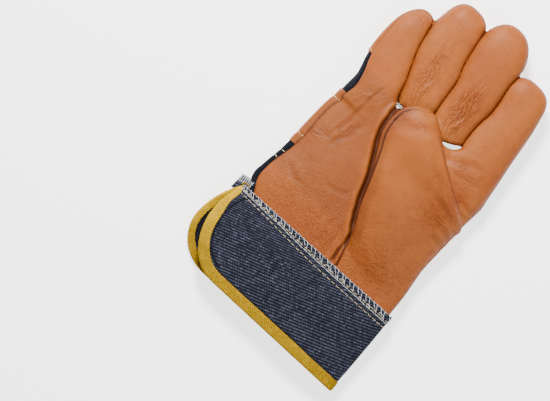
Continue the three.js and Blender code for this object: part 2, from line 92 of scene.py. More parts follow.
def in_frame(points):
    """Points in drawing millimetres, as metres in the frame."""
    return np.asarray(points, float) * MM + ORIGIN


print("drawing origin in the frame:", [round(v, 4) for v in ORIGIN])

# %% [markdown]
# Each soft form is a row of sections across the glove. A section is a superellipse, an oval whose
# corners can be made squarer, which suits leather that lies flat and turns down at its edges. The
# tables hold a few rows, and a smooth curve through them fills in the rest.

# %% Tables of the soft forms
ROW = ("y", "left", "right", "mid", "up", "down")
PALM = [
    (-14, -65.6, 66.2, 12.6, 9.3, 9.3),
    (-4, -65.8, 67.0, 12.6, 9.5, 9.4),
    (1, -69.4, 67.0, 12.6, 9.7, 9.5),
    (6, -71.2, 66.6, 12.5, 10.2, 10.1),
    (15, -70.8, 65.8, 12.4, 10.8, 11.0),
    (30, -69.4, 63.2, 12.0, 11.4, 13.0),
    (45, -68.9, 60.8, 11.8, 11.6, 13.6),
    (62, -69.2, 60.8, 11.6, 11.6, 13.8),
    (78, -69.0, 60.6, 11.6, 11.4, 13.6),
    (90, -67.6, 60.6, 11.8, 11.2, 13.2),
    (100, -67.0, 59.6, 12.0, 10.6, 12.8),
    (110, -62.0, 54.0, 12.0, 9.6, 10.4),
]
FINGERS = {
    "little": {
        "rows": [
            (88, -66.5, -34.0, 12.2, 9.0, 9.0),
            (98, -67.0, -31.5, 12.0, 11.0, 12.8),
            (108, -68.6, -30.5, 11.8, 11.8, 12.6),
            (120, -72.4, -35.0, 11.6, 12.0, 12.2),
            (135, -74.8, -41.6, 11.8, 11.4, 11.6),
            (150, -75.0, -47.6, 12.6, 10.8, 10.6),
            (171.2, -72.0, -50.0, 14.0, 9.8, 9.4),
        ],
        "tip_from": 151,
        "round": 2.4,
    },
    "ring": {
        "rows": [
            (88, -44.0, -10.0, 12.2, 9.0, 9.0),
            (98, -40.0, -7.0, 12.0, 11.4, 12.8),
            (110, -33.6, -7.4, 12.0, 12.0, 12.8),
            (122, -40.4, -6.8, 12.0, 12.3, 12.6),
            (136, -47.2, -8.5, 12.4, 12.2, 12.4),
            (150, -52.4, -12.4, 13.2, 11.9, 12.0),
            (164, -54.8, -16.2, 14.4, 11.5, 11.6),
            (178, -53.2, -19.4, 15.8, 11.0, 10.9),
            (196.4, -53.2, -22.6, 17.4, 10.0, 9.8),
        ],
        "tip_from": 177,
        "round": 2.6,
    },
    "middle": {
        "rows": [
            (88, -14.0, 20.0, 12.2, 9.0, 9.0),
            (98, -12.0, 21.0, 12.0, 11.4, 12.8),
            (110, -10.8, 19.4, 12.0, 12.0, 12.8),
            (122, -11.2, 21.0, 12.0, 12.3, 12.6),
            (136, -13.0, 21.4, 12.4, 12.4, 12.6),
            (150, -16.6, 21.4, 13.4, 12.2, 12.4),
            (164, -20.6, 20.2, 14.8, 11.9, 12.0),
            (178, -23.2, 17.4, 16.4, 11.4, 11.4),
            (190, -23.6, 13.8, 17.8, 10.8, 10.8),
            (207.2, -22.8, 8.8, 19.4, 10.0, 10.0),
        ],
        "tip_from": 187,
        "round": 2.4,
    },
    "index": {
        "rows": [
            (88, 22.0, 58.6, 12.0, 9.0, 9.0),
            (98, 17.0, 60.4, 12.0, 11.2, 12.8),
            (110, 14.0, 59.0, 12.0, 11.8, 12.8),
            (122, 16.6, 56.8, 12.0, 12.1, 12.4),
            (136, 16.6, 54.0, 12.4, 12.0, 12.2),
            (150, 16.8, 51.6, 13.2, 11.7, 11.8),
            (164, 15.8, 48.9, 14.4, 11.2, 11.2),
            (175, 14.0, 46.0, 15.6, 10.8, 10.6),
            (188.4, 13.8, 43.6, 16.8, 10.0, 9.8),
        ],
        "tip_from": 172,
        "round": 2.9,
    },
}
THUMB_ROW = ("y", "left", "right", "edge", "rim", "up", "down")
THUMB = [
    (4, 18.0, 62.0, 14.0, 12.0, 7.0, 3.0),
    (16, 11.0, 64.6, 20.0, 12.4, 8.6, 4.0),
    (28, 5.4, 62.8, 25.4, 12.6, 9.6, 4.0),
    (42, -2.0, 61.0, 28.6, 13.0, 10.6, 4.2),
    (56, -8.4, 60.8, 30.4, 13.6, 11.4, 5.0),
    (70, -16.0, 60.6, 31.2, 15.0, 11.8, 5.6),
    (80, -22.0, 60.2, 31.6, 17.2, 11.8, 6.0),
    (87, -26.0, 51.0, 32.0, 23.4, 11.4, 6.6),
    (95, -28.4, 35.5, 32.4, 28.6, 10.8, 7.0),
    (104, -29.2, 20.5, 32.6, 31.6, 10.0, 7.4),
    (112, -27.4, 8.6, 32.6, 32.4, 8.8, 7.0),
    (118, -22.8, 0.8, 32.4, 32.4, 6.6, 5.6),
    (121.4, -17.6, -4.4, 32.2, 32.2, 3.6, 3.2),
]
THUMB_TIP = 122.8
CRACKS = [
    {
        "crotch": {"x": -31.0, "y": 109.4, "long": 1.7, "wide": 1.3, "turn": 0.0, "bend": 0.0},
        "line": [
            (-32, 110), (-34.4, 113), (-39.4, 125.6), (-44, 135.6), (-49.8, 149), (-52.4, 159), (-55, 171),
        ],
        "past": (-58, 214),
    },
    {
        "crotch": {"x": -9.2, "y": 121.5, "long": 1.2, "wide": 0.6, "turn": 0.0, "bend": 0.0},
        "line": [
            (-9, 121), (-10.6, 130), (-12.2, 140), (-14, 151), (-18.3, 162), (-21.8, 176), (-24.4, 190),
        ],
        "past": (-27, 214),
    },
    {
        "crotch": {"x": 14.8, "y": 116.0, "long": 7.3, "wide": 1.65, "turn": 29.0, "bend": 1.0},
        "line": [
            (20.4, 120), (18.7, 129), (18.0, 140), (18.7, 151), (17.5, 161), (14.8, 174), (14.8, 186),
        ],
        "past": (15.2, 214),
    },
]
print("forms:", 2 + len(FINGERS), "cracks:", len(CRACKS))


# %% [markdown]
# A soft form has no corners along its length, so the rows of a table are joined by a curve that
# keeps each row's value. Straight lines between the rows would leave rings on the leather. The same
# curve serves later for folds and threads.

# %% Curves through the rows
def curve_through(xs, ys, at):
    """A smooth curve through the points xs, ys, read at the places in at."""
    xs = np.asarray(xs, float)
    ys = np.asarray(ys, float)
    slope = np.gradient(ys, xs)
    i = np.clip(np.searchsorted(xs, at) - 1, 0, len(xs) - 2)
    span = xs[i + 1] - xs[i]
    t = np.clip((at - xs[i]) / span, 0, 1)
    rise = ys[i + 1] - ys[i]
    a = slope[i] * span
    b = slope[i + 1] * span
    return ys[i] + a * t + (3 * rise - 2 * a - b) * t**2 + (a + b - 2 * rise) * t**3


def columns_at(names, rows, at):
    """Every column of a table at the places in at, as a dictionary of arrays."""
    table = np.array(rows, float)
    made = {name: curve_through(table[:, 0], table[:, k], at) for k, name in enumerate(names)}
    made["y"] = at
    return made


print("halfway between three rows:", curve_through([0, 1, 2], [0, 1, 0], np.array([0.5, 1.5])))


def squarer(value, square):
    """A sine or cosine as a superellipse has it: a plain oval for 2, squarer above."""
    return np.sign(value) * np.abs(value) ** (2 / square)


def oval_rings(cols, squeeze, sides, square):
    """A ring of points for each row: a superellipse, made smaller by squeeze."""
    turn = np.linspace(0, 2 * math.pi, sides, endpoint=False)
    wide = squarer(np.cos(turn), square)
    tall = squarer(np.sin(turn), square)
    centre = (cols["left"] + cols["right"]) / 2
    half = (cols["right"] - cols["left"]) / 2 * squeeze
    x = centre[:, None] + half[:, None] * wide
    if "mid" in cols:
        base = cols["mid"][:, None] + 0 * x
    else:
        share = (x - cols["left"][:, None]) / (cols["right"] - cols["left"])[:, None]
        base = cols["edge"][:, None] + (cols["rim"] - cols["edge"])[:, None] * share
    reach = np.where(tall > 0, (cols["up"] * squeeze)[:, None], (cols["down"] * squeeze)[:, None])
    y = cols["y"][:, None] + 0 * x
    return np.stack([x, y, base + reach * tall], axis=2)


def tube_faces(rings, sides):
    """Quads along a tube of rings."""
    r = np.arange(rings - 1)[:, None] * sides
    i = np.arange(sides)[None, :]
    j = (i + 1) % sides
    return np.stack([r + i, r + i + sides, r + j + sides, r + j], axis=2).reshape(-1, 4)


def closed_form(rings):
    """Points and triangles of a tube of rings with a fan over each end."""
    count, sides = rings.shape[:2]
    points = np.vstack([rings.reshape(-1, 3), rings[0].mean(0), rings[-1].mean(0)])
    quads = tube_faces(count, sides)
    i = np.arange(sides)
    j = (i + 1) % sides
    first = np.stack([i, j, np.full(sides, len(points) - 2)], axis=1)
    last = np.stack([j, i, np.full(sides, len(points) - 1)], axis=1)
    last[:, :2] += (count - 1) * sides
    return points, np.vstack([quads[:, [0, 1, 2]], quads[:, [0, 2, 3]], first, last])


# %% [markdown]
# The forms have to grow into each other softly where leather runs across, and stay apart at the
# cracks between the fingers. Meshes are poor at that, so each form becomes a distance field, a box
# of small cells that each know how far the nearest surface is. Two fields join with a smooth
# minimum, and a crack is cut with a smooth maximum, which rolls the leather into it.

# %% Distance fields
VOXEL = 0.86
REACH = 9.0  # how far from a surface its field is known
GRID_LOW = np.array([-84.0, -18.0, -4.0])
GRID_HIGH = np.array([76.0, 214.0, 48.0])
GRID_START = np.floor(GRID_LOW / VOXEL).astype(int)
GRID_SHAPE = tuple(np.ceil((GRID_HIGH - GRID_LOW) / VOXEL).astype(int))
SECTION_STEP = 1.5
PALM_SQUARE = 2.7
FINGER_SQUARE = 2.8
THUMB_SQUARE = 2.3
cell_x = ((GRID_START[0] + np.arange(GRID_SHAPE[0])) * VOXEL).astype(np.float32)
cell_y = ((GRID_START[1] + np.arange(GRID_SHAPE[1])) * VOXEL).astype(np.float32)
cell_z = ((GRID_START[2] + np.arange(GRID_SHAPE[2])) * VOXEL).astype(np.float32)
spacing = openvdb.createLinearTransform(voxelSize=VOXEL)


def field_of(rings):
    """The distance field of the closed form through the rings, negative inside."""
    points, faces = closed_form(rings)
    grid = openvdb.FloatGrid.createLevelSetFromPolygons(
        points.astype(np.float32),
        triangles=faces.astype(np.uint32),
        transform=spacing,
        halfWidth=REACH / VOXEL,
    )
    field = np.empty(GRID_SHAPE, np.float32)
    grid.copyToArray(field, ijk=tuple(int(v) for v in GRID_START))
    return field


def soft_min(a, b, k):
    """The nearer of two surfaces, with the corner between them filled over the width k."""
    h = np.maximum(k - np.abs(a - b), 0) / k
    return np.minimum(a, b) - h * h * k / 4


def soft_max(a, b, k):
    """The further of two surfaces, rounded in the same way."""
    return -soft_min(-a, -b, k)


print("a field has", GRID_SHAPE, "cells of", VOXEL, "mm")

# %% [markdown]
# Every form takes the same steps: places along it, a ring at each place, and the field of the closed
# rings. A finger's rings shrink towards its end, faster and faster, which makes its round tip.

# %% A field for each form
FINGER_JOIN = 4.0  # how widely a finger grows into the palm


def palm_field():
    ys = np.arange(PALM[0][0], PALM[-1][0] + 0.1, SECTION_STEP)
    return field_of(oval_rings(columns_at(ROW, PALM, ys), np.ones_like(ys), 96, PALM_SQUARE))


def finger_field(finger):
    rows = finger["rows"]
    start = finger["tip_from"]
    top = rows[-1][0]
    body = np.arange(rows[0][0], start, SECTION_STEP)
    bend = np.sin(np.linspace(0, math.pi / 2, 18))[:-1]
    ys = np.concatenate([body, start + (top - start) * bend, [top - 0.02]])
    over = np.clip((ys - start) / (top - start), 0, 1)
    squeeze = (1 - over ** finger["round"]) ** (1 / finger["round"])
    return field_of(oval_rings(columns_at(ROW, rows, ys), np.maximum(squeeze, 0.03), 72, FINGER_SQUARE))


def thumb_field():
    ys = np.append(np.arange(THUMB[0][0], THUMB[-1][0], SECTION_STEP), THUMB[-1][0])
    rings = oval_rings(columns_at(THUMB_ROW, THUMB, ys), np.ones_like(ys), 96, THUMB_SQUARE)
    tip = rings[-1:] * 0.5 + rings[-1:].mean(1, keepdims=True) * 0.5
    tip[:, :, 1] = THUMB_TIP
    return field_of(np.concatenate([rings, tip]))


hand = palm_field()
for finger in FINGERS.values():
    hand = soft_min(hand, finger_field(finger), FINGER_JOIN)
thumb = thumb_field()
print("cells inside the hand:", int((hand < 0).sum()), "and the thumb:", int((thumb < 0).sum()))

# %% [markdown]
# The fingers of a new glove lie close together, so a crack is no more than a line in plan where they
# part above and below the strip where they touch. Each crack ends in a small hole at the crotch.

# %% Cracks between the fingers
def plan_distance(points):
    """Distance in plan from each cell column to a line of points."""
    gx, gy = np.meshgrid(cell_x, cell_y, indexing="ij")
    best = np.full(gx.shape, 1e3, np.float32)
    for (ax, ay), (bx, by) in zip(points[:-1], points[1:]):
        dx, dy = bx - ax, by - ay
        t = np.clip(((gx - ax) * dx + (gy - ay) * dy) / (dx * dx + dy * dy), 0, 1)
        best = np.minimum(best, np.hypot(gx - ax - t * dx, gy - ay - t * dy))
    return best


def smooth_line(points, step=1.5):
    """More points on a smooth curve through the given ones."""
    points = np.array(points, float)
    along = np.concatenate([[0], np.cumsum(np.hypot(*np.diff(points, axis=0).T))])
    at = np.linspace(0, along[-1], max(int(along[-1] / step), 2) + 1)
    return np.stack([curve_through(along, points[:, k], at) for k in (0, 1)], axis=1)


THUMB_JOIN = 1.4  # how widely the thumb grows into the palm
FINGER_GAP = 0.8
CRACK_ROLL = 3.0  # how far the leather rolls into a crack
FLOOR_LEVEL = 1.15  # the flat underside, so that the strap and stitches on it still end on the table
FLOOR_ROLL = 2.0
TOUCH = 1.6  # half the height of the strip where two fingers touch
TOUCH_HEIGHT = [(104, 9.0), (150, 10.5), (175, 12.5), (200, 15.5)]  # how high that strip lies along y


def crack_field(crack):
    """Negative inside the crack's air above and below that strip, and inside its hole at the crotch."""
    wall = plan_distance(smooth_line(crack["line"])) - FINGER_GAP / 2
    hole = crack["crotch"]
    turn = math.radians(hole["turn"])
    gx, gy = np.meshgrid(cell_x - hole["x"], cell_y - hole["y"], indexing="ij")
    u = (gx * math.cos(turn) + gy * math.sin(turn)) / hole["long"]
    v = (gy * math.cos(turn) - gx * math.sin(turn)) / hole["wide"] - hole["bend"] * (u**2 - 0.4)
    oval = (np.hypot(u, v) - 1) * hole["wide"]
    height = np.interp(cell_y, *np.array(TOUCH_HEIGHT).T)
    strip = TOUCH - np.abs(cell_z[None, None, :] - height[None, :, None])
    return np.minimum(np.maximum(wall[:, :, None], strip), oval[:, :, None])


for crack in CRACKS:
    hand = soft_max(hand, -crack_field(crack).astype(np.float32), CRACK_ROLL)
hand = soft_max(hand, FLOOR_LEVEL - cell_z[None, None, :], FLOOR_ROLL)
body = soft_min(hand, thumb, THUMB_JOIN)
print("cells:", GRID_SHAPE, "inside:", int((body < 0).sum()))


# %% [markdown]
# So far the soft body is a field of distances. Its skin lies where the distance is zero, and
# openvdb builds it there as quads of nearly one size. Such even quads can be pressed into folds
# anywhere, which a mesh laid out by hand for one set of folds can't.

# %% From the field to a skin
def skin_of(field):
    """Points and quads where the field is zero."""
    grid = openvdb.FloatGrid(REACH)
    grid.copyFromArray(field.astype(np.float32), ijk=tuple(int(v) for v in GRID_START))
    grid.transform = spacing
    points, quads = grid.convertToQuads(isovalue=0)
    return points.astype(float), quads.astype(int)


points, quads = skin_of(body)
print("skin:", len(points), "points", len(quads), "quads", points.min(0).round(1), points.max(0).round(1))

# %% [markdown]
# The raw skin still shows the steps of its cells, so it is relaxed a little. After that every fold
# is a vertex move along the skin's own normal. A fold is a line in plan with a depth and a width:
# a valley with a low shoulder on each side, which is how a real crease in leather looks.

# %% Relax the skin
def neighbour_mean(values, edges, count):
    """For each point, the mean of its neighbours' values."""
    total = np.zeros((count, values.shape[1]))
    for k in range(values.shape[1]):
        total[:, k] = np.bincount(edges[:, 0], values[edges[:, 1], k], count)
        total[:, k] += np.bincount(edges[:, 1], values[edges[:, 0], k], count)
    degree = np.bincount(edges[:, 0], minlength=count) + np.bincount(edges[:, 1], minlength=count)
    return total / np.maximum(degree, 1)[:, None]


def edges_of(faces):
    """Each edge once, as a pair of points."""
    pairs = np.vstack([faces[:, [k, (k + 1) % faces.shape[1]]] for k in range(faces.shape[1])])
    return np.unique(np.sort(pairs, axis=1), axis=0)


def relax(points, edges, times, share=0.5):
    """Moves each point a share of the way to the middle of its neighbours."""
    for _ in range(times):
        points = points + (neighbour_mean(points, edges, len(points)) - points) * share
    return points


def normals_of(points, faces):
    """The points' normals. The cross of a quad's diagonals, or of a triangle's sides, weighs each face."""
    corners = faces.shape[1]
    a, b, c, d = (points[faces[:, k % corners]] for k in range(4))
    across = np.cross(c - a, d - b)
    total = np.zeros_like(points)
    for k in range(3):
        for corner in range(corners):
            total[:, k] += np.bincount(faces[:, corner], across[:, k], len(points))
    return total / np.maximum(np.linalg.norm(total, axis=1), 1e-9)[:, None]


edges = edges_of(quads)
points = relax(points, edges, 4)
normals = normals_of(points, quads)
if (normals[:, 2] * (points[:, 2] - MID_HEIGHT)).sum() < 0:
    quads = quads[:, ::-1]
    normals = -normals
edge_lengths = np.linalg.norm(points[edges[:, 0]] - points[edges[:, 1]], axis=1)
print("relaxed, mean edge:", round(float(edge_lengths.mean()), 2))


# %% [markdown]
# Each point of the skin belongs to the hand or to the thumb, whichever lies nearer. Both fields are
# read at the point, between their cells, and the difference tells the thumb's leather from the
# leather that it lies on.

# %% Read a field at a point
def sample(field, points):
    """The field's value between its cells, by straight lines along the three axes."""
    place = points / VOXEL - GRID_START
    low = np.clip(np.floor(place).astype(int), 0, np.array(GRID_SHAPE) - 2)
    f = place - low
    total = np.zeros(len(points))
    for corner in range(8):
        step = np.array([corner >> 2 & 1, corner >> 1 & 1, corner & 1])
        weight = np.prod(np.where(step, f, 1 - f), axis=1)
        i = low + step
        total += weight * field[i[:, 0], i[:, 1], i[:, 2]]
    return total


on_thumb = np.clip((sample(hand, points) - sample(thumb, points)) / THUMB_JOIN, -1, 1)
print("share of the skin on the thumb:", round(float((on_thumb > 0).mean()), 3))


# %% [markdown]
# Used leather is never quite even: it swells and sinks a little without any fold. Smooth noise with
# a fixed seed gives that, the same on every run. The other helpers here serve many steps: a
# bell and a soft step for grooves and edges, and the distance to a drawn line.

# %% Noise for the leather's own unevenness
def lattice_noise(u, v, seed, size=64):
    """Smooth noise between -1 and 1 over a plane, the same on every run."""
    table = np.random.default_rng(seed).uniform(-1, 1, (size, size))
    iu, iv = np.floor(u).astype(int), np.floor(v).astype(int)
    fu, fv = u - iu, v - iv
    su, sv = fu * fu * (3 - 2 * fu), fv * fv * (3 - 2 * fv)
    a = table[iu % size, iv % size] * (1 - su) + table[(iu + 1) % size, iv % size] * su
    b = table[iu % size, (iv + 1) % size] * (1 - su) + table[(iu + 1) % size, (iv + 1) % size] * su
    return a * (1 - sv) + b * sv


def bell(distance, width):
    """1 in the middle, and softly down to nearly 0 at twice the width."""
    return np.exp(-((distance / width) ** 2))


def smooth_step(low, high, value):
    """0 up to low and 1 from high on, with a soft rise between."""
    t = np.clip((value - low) / (high - low), 0, 1)
    return t * t * (3 - 2 * t)


def beside_line(x, y, line):
    """Plan distance to a line, how far along it the nearest place is, and the side, 1 for its right."""
    best = np.full(len(x), 1e3)
    share = np.zeros(len(x))
    side = np.ones(len(x))
    lengths = [math.hypot(b[0] - a[0], b[1] - a[1]) for a, b in zip(line[:-1], line[1:])]
    gone = 0.0
    for (ax, ay), (bx, by), length in zip(line[:-1], line[1:], lengths):
        dx, dy = bx - ax, by - ay
        t = np.clip(((x - ax) * dx + (y - ay) * dy) / (length * length), 0, 1)
        d = np.hypot(x - ax - t * dx, y - ay - t * dy)
        near = d < best - 1e-9
        best[near] = d[near]
        share[near] = (gone + t[near] * length) / sum(lengths)
        turn = (x - ax) * dy - (y - ay) * dx
        side[near] = np.where(turn[near] < 0, -1, 1)
        gone += length
    return best, share, side


def signed_line(x, y, line):
    """Plan distance to a line, positive on its right-hand side."""
    away, _, side = beside_line(x, y, line)
    return away * side


print("noise at three places:", lattice_noise(np.array([0.2, 1.7, 5.1]), np.zeros(3), 5).round(2))


# %% [markdown]
# Cells of this size can't hold a gap much thinner than themselves, while the real fingers touch
# along a dark line. So the two walls of each crack are pulled together, apart from the small hole
# at its foot, where the pale table shows through.

# %% Close the cracks between the fingers
CRACK_PULL = 0.34
CRACK_REACH = 1.0
CROTCH_FROM = 104  # no crack begins lower than this


def crack_distance(x, y):
    """Plan distance to the nearest crack, and how far along it, from 0 at its foot."""
    best = np.full(len(x), 1e3)
    share = np.zeros(len(x))
    for crack in CRACKS:
        away, along, _ = beside_line(x, y, smooth_line(crack["line"]))
        near = away < best
        best[near] = away[near]
        share[near] = along[near]
    return best, share


def close_cracks(points):
    """Pulls the points beside a crack towards its middle line."""
    near = points[:, 1] > CROTCH_FROM
    x, y = points[near, 0], points[near, 1]
    step = 0.05
    away, share = crack_distance(x, y)
    gx = (crack_distance(x + step, y)[0] - crack_distance(x - step, y)[0]) / (2 * step)
    gy = (crack_distance(x, y + step)[0] - crack_distance(x, y - step)[0]) / (2 * step)
    pull = CRACK_PULL * bell(away - 0.5, CRACK_REACH) * smooth_step(0.0, 0.06, share)
    pull = np.minimum(pull, np.maximum(away - 0.08, 0))
    moved = points.copy()
    moved[near, 0] -= gx * pull
    moved[near, 1] -= gy * pull
    return moved


points = close_cracks(points)
print("cracks closed:", len(CRACKS))

# %% [markdown]
# These are the folds that the photo shows, each one traced as a few points in plan. A fold belongs
# to the palm or to the thumb, because the thumb lies over the palm and hides what is under it.

# %% Table of folds
FOLD = ("part", "deep", "wide", "line")
# Folds at least this deep get the full painted shade at their foot.
DARK_FOLD = 1.2  # folds at least this deep are dark at their foot
FOLDS = [
    ("palm", 0.7, 1.2, [(-45, 116), (-47.5, 108), (-48.6, 96), (-49.4, 84), (-51, 70), (-52.5, 58)]),
    ("palm", 0.5, 2.2, [(-38, 84), (-42, 74), (-46, 62), (-46.5, 52)]),
    ("palm", 0.2, 2.6, [(-62, 101), (-55, 103), (-47, 107), (-40, 109)]),
    ("palm", 0.2, 2.0, [(-58, 94), (-50, 98), (-43, 101)]),
    ("palm", 0.3, 2.0, [(-30, 36), (-24, 35.6), (-18, 38), (-11, 43.5)]),
    ("palm", 0.5, 2.4, [(-9, 22), (-7.4, 14), (-6, 6), (-5, -2)]),
    ("palm", 0.5, 1.8, [(-3, 31), (0, 23), (2.6, 14), (4.6, 6), (5.4, -2)]),
    ("palm", 2.1, 1.2, [(6.0, 28), (8, 21), (8.8, 13), (10, 5), (10.8, -4)]),
    ("palm", 1.9, 1.0, [(6.4, 27), (9.4, 19), (12.4, 10), (15.4, 1.5), (17, -4)]),
    (
        "palm", 2.8, 2.2,
        [(12.5, 12), (8, 22.6), (3, 31), (-3, 42), (-9.4, 56), (-17, 70), (-23, 80), (-27.2, 88)],
    ),
    ("palm", 1.9, 1.9, [(-21, 76), (-27, 86), (-29.8, 95), (-30.6, 104), (-29.6, 110), (-27, 115)]),
    ("palm", 0.3, 2.2, [(-60, 30), (-50, 24), (-38, 22)]),
    ("palm", 0.3, 2.6, [(-62, 62), (-54, 60), (-46, 62)]),
    ("palm", 0.6, 2.6, [(16, 103), (22, 108.5), (30, 113.5), (38, 116.5), (47, 120)]),
    ("palm", 0.3, 2.0, [(26, 101), (36, 104), (48, 107), (57, 108)]),
    ("palm", 0.5, 1.9, [(44, 92.5), (50, 91), (57, 91), (63, 92)]),
    ("palm", 0.3, 2.0, [(-20, 121), (-14, 123), (-6, 124), (4, 121)]),
    ("thumb", 0.5, 4.2, [(-24, 96), (-19, 102), (-11, 107), (-4, 112), (0, 118)]),
    ("thumb", 0.6, 3.4, [(8, 106), (16, 98), (26, 92), (38, 86)]),
    ("thumb", 0.6, 2.4, [(28, 84), (40, 80), (52, 77), (62, 76)]),
    ("thumb", 0.5, 2.0, [(38, 72), (48, 69), (62, 67)]),
    ("thumb", 0.5, 2.0, [(46, 61), (55, 59), (63, 58)]),
    ("thumb", 0.2, 3.0, [(-8, 66), (-2, 58), (2, 48)]),
    ("thumb", 0.2, 3.0, [(16, 22), (26, 14), (40, 10), (54, 12)]),
]
# Clusters of fine wrinkles: their centre and size, the direction they run in, and their spacing
WRINKLE = ("part", "x", "y", "long", "wide", "turn", "spacing", "deep")
WRINKLES = [
    ("palm", -31.0, 140, 38, 9.0, 101, 2.6, 0.62),
    ("palm", 3.0, 137, 36, 11.0, 97, 2.6, 0.80),
    ("palm", -50, 100, 17, 12, 60, 3.4, 0.22),
    ("palm", 38, 106, 20, 13, 8, 3.0, 0.24),
    ("palm", -45, 72, 24, 8, 82, 4.0, 0.30),
    ("palm", -60, 56, 12, 10, 10, 3.2, 0.26),
    ("palm", -2, 15, 16, 12, 108, 4.0, 0.30),
    ("thumb", 44, 74, 22, 16, -14, 3.2, 0.40),
    ("thumb", 20, 94, 16, 7, -35, 3.0, 0.32),
    ("thumb", 30, 14, 26, 14, 20, 3.4, 0.14),
]


def fold_depths(x, y, part):
    """How far each point is pressed in, how much painted shade it gets, and its place among fine wrinkles.
    """
    pressed = np.zeros(len(x))
    dark = np.zeros(len(x))
    fine = np.zeros((len(x), 3))
    for row in FOLDS:
        fold = dict(zip(FOLD, row))
        if fold["part"] != part:
            continue
        wander = lattice_noise(x / 7.0 + 3, y / 7.0, 11) * 0.9
        away, share, _ = beside_line(x + wander, y - wander, smooth_line(fold["line"], 3.0))
        taper = smooth_step(0, 0.22, share) * smooth_step(0, 0.22, 1 - share)
        t = away / fold["wide"]
        sharp = fold["deep"] >= DARK_FOLD
        bulge = 0.45 if sharp else 0.22
        press = fold["deep"] * taper * (np.exp(-(t**2)) - bulge * np.exp(-((t - 1.9) ** 2) / 0.8))
        pressed += press
        # Painted shade at the foot of each fold, weaker for shallow folds.
        dark += press * (1.0 if sharp else 0.45)
    for row in WRINKLES:
        patch = dict(zip(WRINKLE, row))
        if patch["part"] != part:
            continue
        turn = math.radians(patch["turn"])
        dx, dy = x - patch["x"], y - patch["y"]
        along = dx * math.cos(turn) + dy * math.sin(turn)
        across = dy * math.cos(turn) - dx * math.sin(turn)
        inside = smooth_step(1.0, 0.35, np.hypot(along / patch["long"], across / patch["wide"]))
        bend = lattice_noise(along / 9.0, across / 9.0 + 5, 23) * 1.6
        ridge = lattice_noise(along / (patch["spacing"] * 3.2), (across + bend) / patch["spacing"] * 2, 31)
        pressed += patch["deep"] * inside * (0.25 + 0.7 * ridge)
        stronger = inside * patch["deep"] > fine[:, 2]
        fine[stronger] = np.stack([along, across + bend, inside * patch["deep"]], axis=1)[stronger]
    return pressed, dark, fine


print("folds:", len(FOLDS), "patches of wrinkles:", len(WRINKLES))

# %% [markdown]
# The seam between the front and the back is a sheet that is higher on the little finger's side, so
# a strip of the back shows there from above, as in the photo. The thumb has its own seam, and the
# palm ends at a line where the thumb's panel is sewn in.

# %% Seam sheets and lines
SEAM_ROW = ("y", "edge", "rim")
SEAM_SPAN = 100.0
SEAM = [
    (-60, 20.4, 4.1),
    (4, 20.3, 4.1),
    (12, 20.0, 4.1),
    (24, 19.8, 4.1),
    (32, 20.4, 4.1),
    (44, 21.0, 4.1),
    (84, 21.0, 4.1),
    (92, 22.8, 4.1),
    (98, 24.2, 4.1),
    (108, 23.7, 4.1),
    (118, 22.4, 4.2),
    (126, 21.6, 4.6),
    (140, 21.4, 5.4),
    (152, 20.2, 6.6),
    (166, 18.6, 8.0),
    (182, 18.6, 9.8),
    (214, 20.0, 13.0),
]
THUMB_LINE = [(17.5, -40), (15.8, 0), (12.4, 10), (9.4, 19), (18, 48), (34, 72), (50, 84), (90, 86)]
CRACK_SEAM = 8.0  # how much lower the seam runs between two fingers
THUMB_BAND = 5.2  # how far the thumb's seam is raised on its left, so that the back shows as a band


def seam_height(x, y):
    """How high the seam between front and back lies."""
    cols = columns_at(SEAM_ROW, SEAM, y)
    away, share = crack_distance(x, y)
    sunk = CRACK_SEAM * bell(away, 3.0) * smooth_step(1.0, 0.9, share)
    return cols["edge"] + (cols["rim"] - cols["edge"]) * (x + SEAM_SPAN) / (2 * SEAM_SPAN) - sunk


def thumb_seam_height(x, y):
    """How high the thumb's own seam lies."""
    cols = columns_at(THUMB_ROW, THUMB, np.clip(y, THUMB[0][0], THUMB[-1][0]))
    share = (x - cols["left"]) / (cols["right"] - cols["left"])
    lift = THUMB_BAND * smooth_step(0.9, 0.1, share) * smooth_step(26, 84, y)
    return cols["edge"] + (cols["rim"] - cols["edge"]) * np.clip(share, -0.1, 1.1) + lift


def seam_values(points):
    """For each point: how far over the main seam and over the thumb's seam it lies, how far into the
    thumb's own form, and how far to the right of the line where the thumb's panel begins."""
    x, y, z = points.T
    front = z - seam_height(x, y)
    thumb_front = z - thumb_seam_height(x, y)
    thumb_here = sample(hand, points) - sample(thumb, points)
    panel = signed_line(x, y, THUMB_LINE)
    return front, thumb_front, thumb_here, panel


def groove(value, normal, slope, deep, wide):
    """A small valley along a seam. slope is the seam function's own gradient."""
    flat = slope - (slope * normal).sum(1)[:, None] * normal
    away = np.abs(value) / np.maximum(np.linalg.norm(flat, axis=1), 0.35)
    return deep * bell(away, wide), away


print("seam rows:", len(SEAM), "points on the thumb panel's line:", len(THUMB_LINE))
